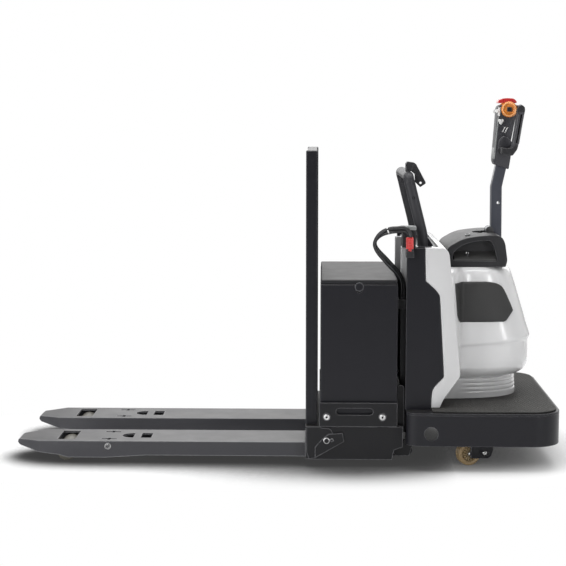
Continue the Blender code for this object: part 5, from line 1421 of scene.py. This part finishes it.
def make_caster_wheel(side_name):
    """A tan wheel with a grooved tread, a sunk web painted a darker tan as shade, and a ribbed
    hub.
    """
    node = f"caster_wheel_{side_name}"
    at, radius, half, rim = wheel_frame(node), CASTER_RADIUS, CASTER_HALF, CASTER_RIM
    tread = [(rim - 0.002, half - 0.006), (rim, half - 0.001), (radius - 0.006, half),
             (radius - 0.002, half - 0.002), (radius, half - 0.005), (radius, 0.008),
             (radius - 0.0022, 0.0072), (radius - 0.0022, 0.0048), (radius, 0.004)]
    web = [(0.0074, half), (0.0125, half), (0.0135, half - 0.002), (0.0135, half - 0.0065),
           (rim - 0.004, half - 0.0065), (rim - 0.001, half - 0.004)]
    with making(f"caster_tread_{side_name}", "tan_tread", node, node, replaces=True) as bm:
        lathe(bm, both_ends(tread), at, 72)
    with making(f"caster_web_{side_name}", "hub_web_painted_shade", node, node) as bm:
        lathe(bm, both_ends(web), at, 48)
    with making(f"caster_hub_{side_name}", "wheel_hub", node, node) as bm:
        for sign in (-1, 1):
            lathe(bm, [(0.0074, half - 0.001), (0.0074, half), (0.0132, half),
                       (0.0138, half - 0.0012)], flipped(at, sign), 32, hoop=True)
        for k in range(CASTER_RIBS):
            for sign in (-1, 1):
                rib = bmesh.new()
                a, b = both_sides(sign, half - 0.0075, half - 0.0015)
                block(rib, (0.012, -0.0017, a), (rim - 0.003, 0.0017, b))
                rib.transform(at @ Matrix.Rotation(2 * math.pi * k / CASTER_RIBS, 4, "Z"))
                part = mesh_of(rib)
                bm.from_mesh(part)
                bpy.data.meshes.remove(part)


def make_caster_arm(side_name, sign):
    """The caster's fork, open on its outer side, with its bolt behind the wheel."""
    node, body = f"caster_fork_{side_name}", f"caster_{side_name}"
    centre = wheel_frame(f"caster_wheel_{side_name}").translation
    at = axis_frame(centre, (0, sign, 0))
    opening = drill(0.053, 0.0205, 0.08, at, 48)
    piece(f"caster_arm_{side_name}", carve(NODES[node].data.copy(), [opening]), "black_paint",
          body, node, (0.0008, 1), True)
    with making(f"caster_bolts_{side_name}", "zinc", body, node) as bm:
        face = sign * (outer_face(node, sign) - 0.0002)
        socket_bolt(bm, (centre.x + 0.066, face, 0.056), (0, sign, 0), 0.006, 0.003)
        lathe(bm, [(0.007, 0.015), (0.007, 0.0205), (0.0058, 0.0218)], at, 24)


def make_load_wheel(side_name):
    """A long polyurethane roller on a steel hub."""
    node = f"load_wheel_{side_name}"
    at, radius, half = wheel_frame(node), ROLLER_RADIUS, ROLLER_HALF
    tread = [(0.0255, half - 0.0005), (radius - 0.003, half - 0.0005),
             (radius - 0.0008, half - 0.0015), (radius, half - 0.0035)]
    with making(f"roller_tread_{side_name}", "roller_tread", node, node, replaces=True) as bm:
        lathe(bm, both_ends(tread), at, 56)
    with making(f"roller_hub_{side_name}", "zinc", node, node) as bm:
        for sign in (-1, 1):
            lathe(bm, [(0.0096, half - 0.004), (0.0096, half), (0.015, half),
                       (0.017, half - 0.003), (0.0235, half - 0.003), (0.0254, half - 0.001),
                       (0.0254, half - 0.006)], flipped(at, sign), 40)


# Fasteners and small fittings

GATE_BOLT_Z = 0.212


def make_fasteners(side_name, sign):
    """Cap screws, nuts and pins on the carriage and the forks."""
    gate, heel, fork = (f"{name}_{side_name}" for name in ("side_gate", "heel_bracket", "fork"))
    out = (0, sign, 0)
    y = sign * (outer_face(gate, sign) - 0.0003)
    spots = [(x, y, GATE_BOLT_Z) for x in (HEEL_X + 0.087, BATTERY_HIGH.x - 0.061)]
    with making(f"gate_bolts_{side_name}", "zinc", "carriage", gate) as bm:
        for spot in spots:
            socket_bolt(bm, spot, out, 0.009, 0.004)
    # Near-black discs in the screws' sockets as painted shade.
    with making(f"gate_socket_shade_{side_name}", "painted_shade_black", "carriage", gate) as bm:
        for spot in spots:
            lathe(bm, [(0.005, 0.0012), (0.005, 0.0036), (0.0046, 0.0038)],
                  axis_frame(spot, out), 6)
    y = sign * (outer_face(heel, sign) - 0.0045)
    with making(f"heel_bolts_{side_name}", "zinc", "carriage", heel) as bm:
        socket_bolt(bm, (HEEL_X + 0.087, y, 0.112), out, 0.0095, 0.0042)
        hex_bolt(bm, (HEEL_X + 0.109, y, 0.114), out, 0.0048, 0.0042)
    face = outer_face(fork, sign)
    x, _, z = joint_of(f"yoke_{side_name}")["pos_m"]
    with making(f"pivot_bolt_{side_name}", "dark_bolt", "carriage", fork) as bm:
        socket_bolt(bm, (x, sign * (face - 0.0004), z), out, 0.0082, 0.0036)
    with making(f"pivot_rings_{side_name}", "zinc", "carriage", fork) as bm:
        for inner, outer, low, high in ((0.0112, 0.0128, 0, 0.0012),
                                        (0.007, 0.0079, 0.003, 0.0037)):
            lathe(bm, [(inner, low), (inner, high), (outer, high), (outer, low)],
                  axis_frame((x, sign * face, z), out), 32, hoop=True)


def make_seam(side_name, sign):
    """The weld bead across the fork's heel."""
    y1, y2 = sign * (FORK_Y - 0.111), sign * (FORK_Y + 0.111)
    with making(f"fork_weld_{side_name}", "fork_paint", "carriage", f"fork_{side_name}") as bm:
        weld_bead(bm, [(HEEL_X - 0.0022, y1 + (y2 - y1) * k / 24, FORK_TOP + 0.0005)
                       for k in range(25)], 0.003)


def make_lifting_eye(side_name, sign):
    """The liner in the battery's lifting hole, and a near-black disc inside it as painted shade.
    """
    wall = BATTERY_HIGH.y
    at = sideways((BATTERY_LOW.x + BATTERY_HIGH.x) / 2, BATTERY_HIGH.z - 0.0107, sign)
    with making(f"lifting_eye_{side_name}", "black_paint", "carriage", "battery_case") as bm:
        lathe(bm, [(0.014, wall - 0.013), (0.0163, wall - 0.011), (0.0163, wall),
                   (0.019, wall + 0.0002), (0.019, wall + 0.0012), (0.014, wall + 0.0012)],
              at, 40)
    # Painted shade: a near-black disc inside the hole.
    with making(f"lifting_hole_shade_{side_name}", "painted_shade_black", "carriage", "battery_case") as bm:
        lathe(bm, [(0.0138, wall - 0.002), (0.0138, wall + 0.0006), (0.013, wall + 0.0009)],
              at, 32)


# Finish, edge width and its segments of the nodes that stay as they are
PAIRED = (("fork", "fork_paint", 0.0022, 3), ("heel_bracket", "powder_coat", 0.0012, 2),
          ("side_gate", "powder_coat", 0.0014, 3), ("side_plate", "black_paint", 0.0012, 2),
          ("guide_rail", "rail_steel", 0.0008, 2), ("lift_link", "powder_coat", 0.0008, 1),
          ("pull_rod", "powder_coat", 0.0006, 1), ("wheel_yoke", "powder_coat", 0.0006, 1))
SINGLE = (("carriage_frame", "powder_coat", 0.0014, 2), ("backrest", "black_paint", 0.0022, 3),
          ("battery_case", "black_paint", 0.0028, 3), ("battery_lid", "lid_paint", 0.002, 3),
          ("battery_gland", "moulded_dark", 0.0008, 2), ("lift_rod", "zinc", 0.0, 2),
          ("chassis_frame", "powder_coat", 0.001, 1),
          ("lift_cylinder", "black_paint", 0.0006, 1), ("deck_lid", "black_paint", 0.0012, 2),
          ("accessory_clamp", "moulded_dark", 0.002, 3),
          ("connector_socket", "moulded_dark", 0.001, 2),
          ("hydraulic_unit", "powder_coat", 0.0015, 2), ("drive_unit", "powder_coat", 0.001, 1),
          ("drive_motor", "powder_coat", 0.001, 1), ("drive_wheel", "tyre_black", 0.001, 1),
          ("tiller_turret", "dark_bolt", 0.0008, 1), ("tiller_post", "post_paint", 0.003, 3))


def dress_frame():
    for side_name in SIDES:
        for node, *look in PAIRED:
            dress(f"{node}_{side_name}", *look)
    for row in SINGLE:
        dress(*row)


add_camera()
add_world()
add_floor()
for light_row in LIGHTS:
    add_light(*light_row)
bpy.context.scene.view_settings.view_transform = "Standard"
mix_finishes()
make_cables()
dress_frame()
make_cover()
for side in SIDES.items():
    make_knee_pad(*side)
make_console()
make_gauge()
make_key()
make_platform()
make_head()
make_throttle()
make_reverse_button()
make_side_buttons()
make_grab_bar()
make_connector()
for side in SIDES.items():
    make_caster_wheel(side[0])
    make_caster_arm(*side)
    make_load_wheel(side[0])
for maker in (make_fasteners, make_seam, make_lifting_eye):
    for side in SIDES.items():
        maker(*side)
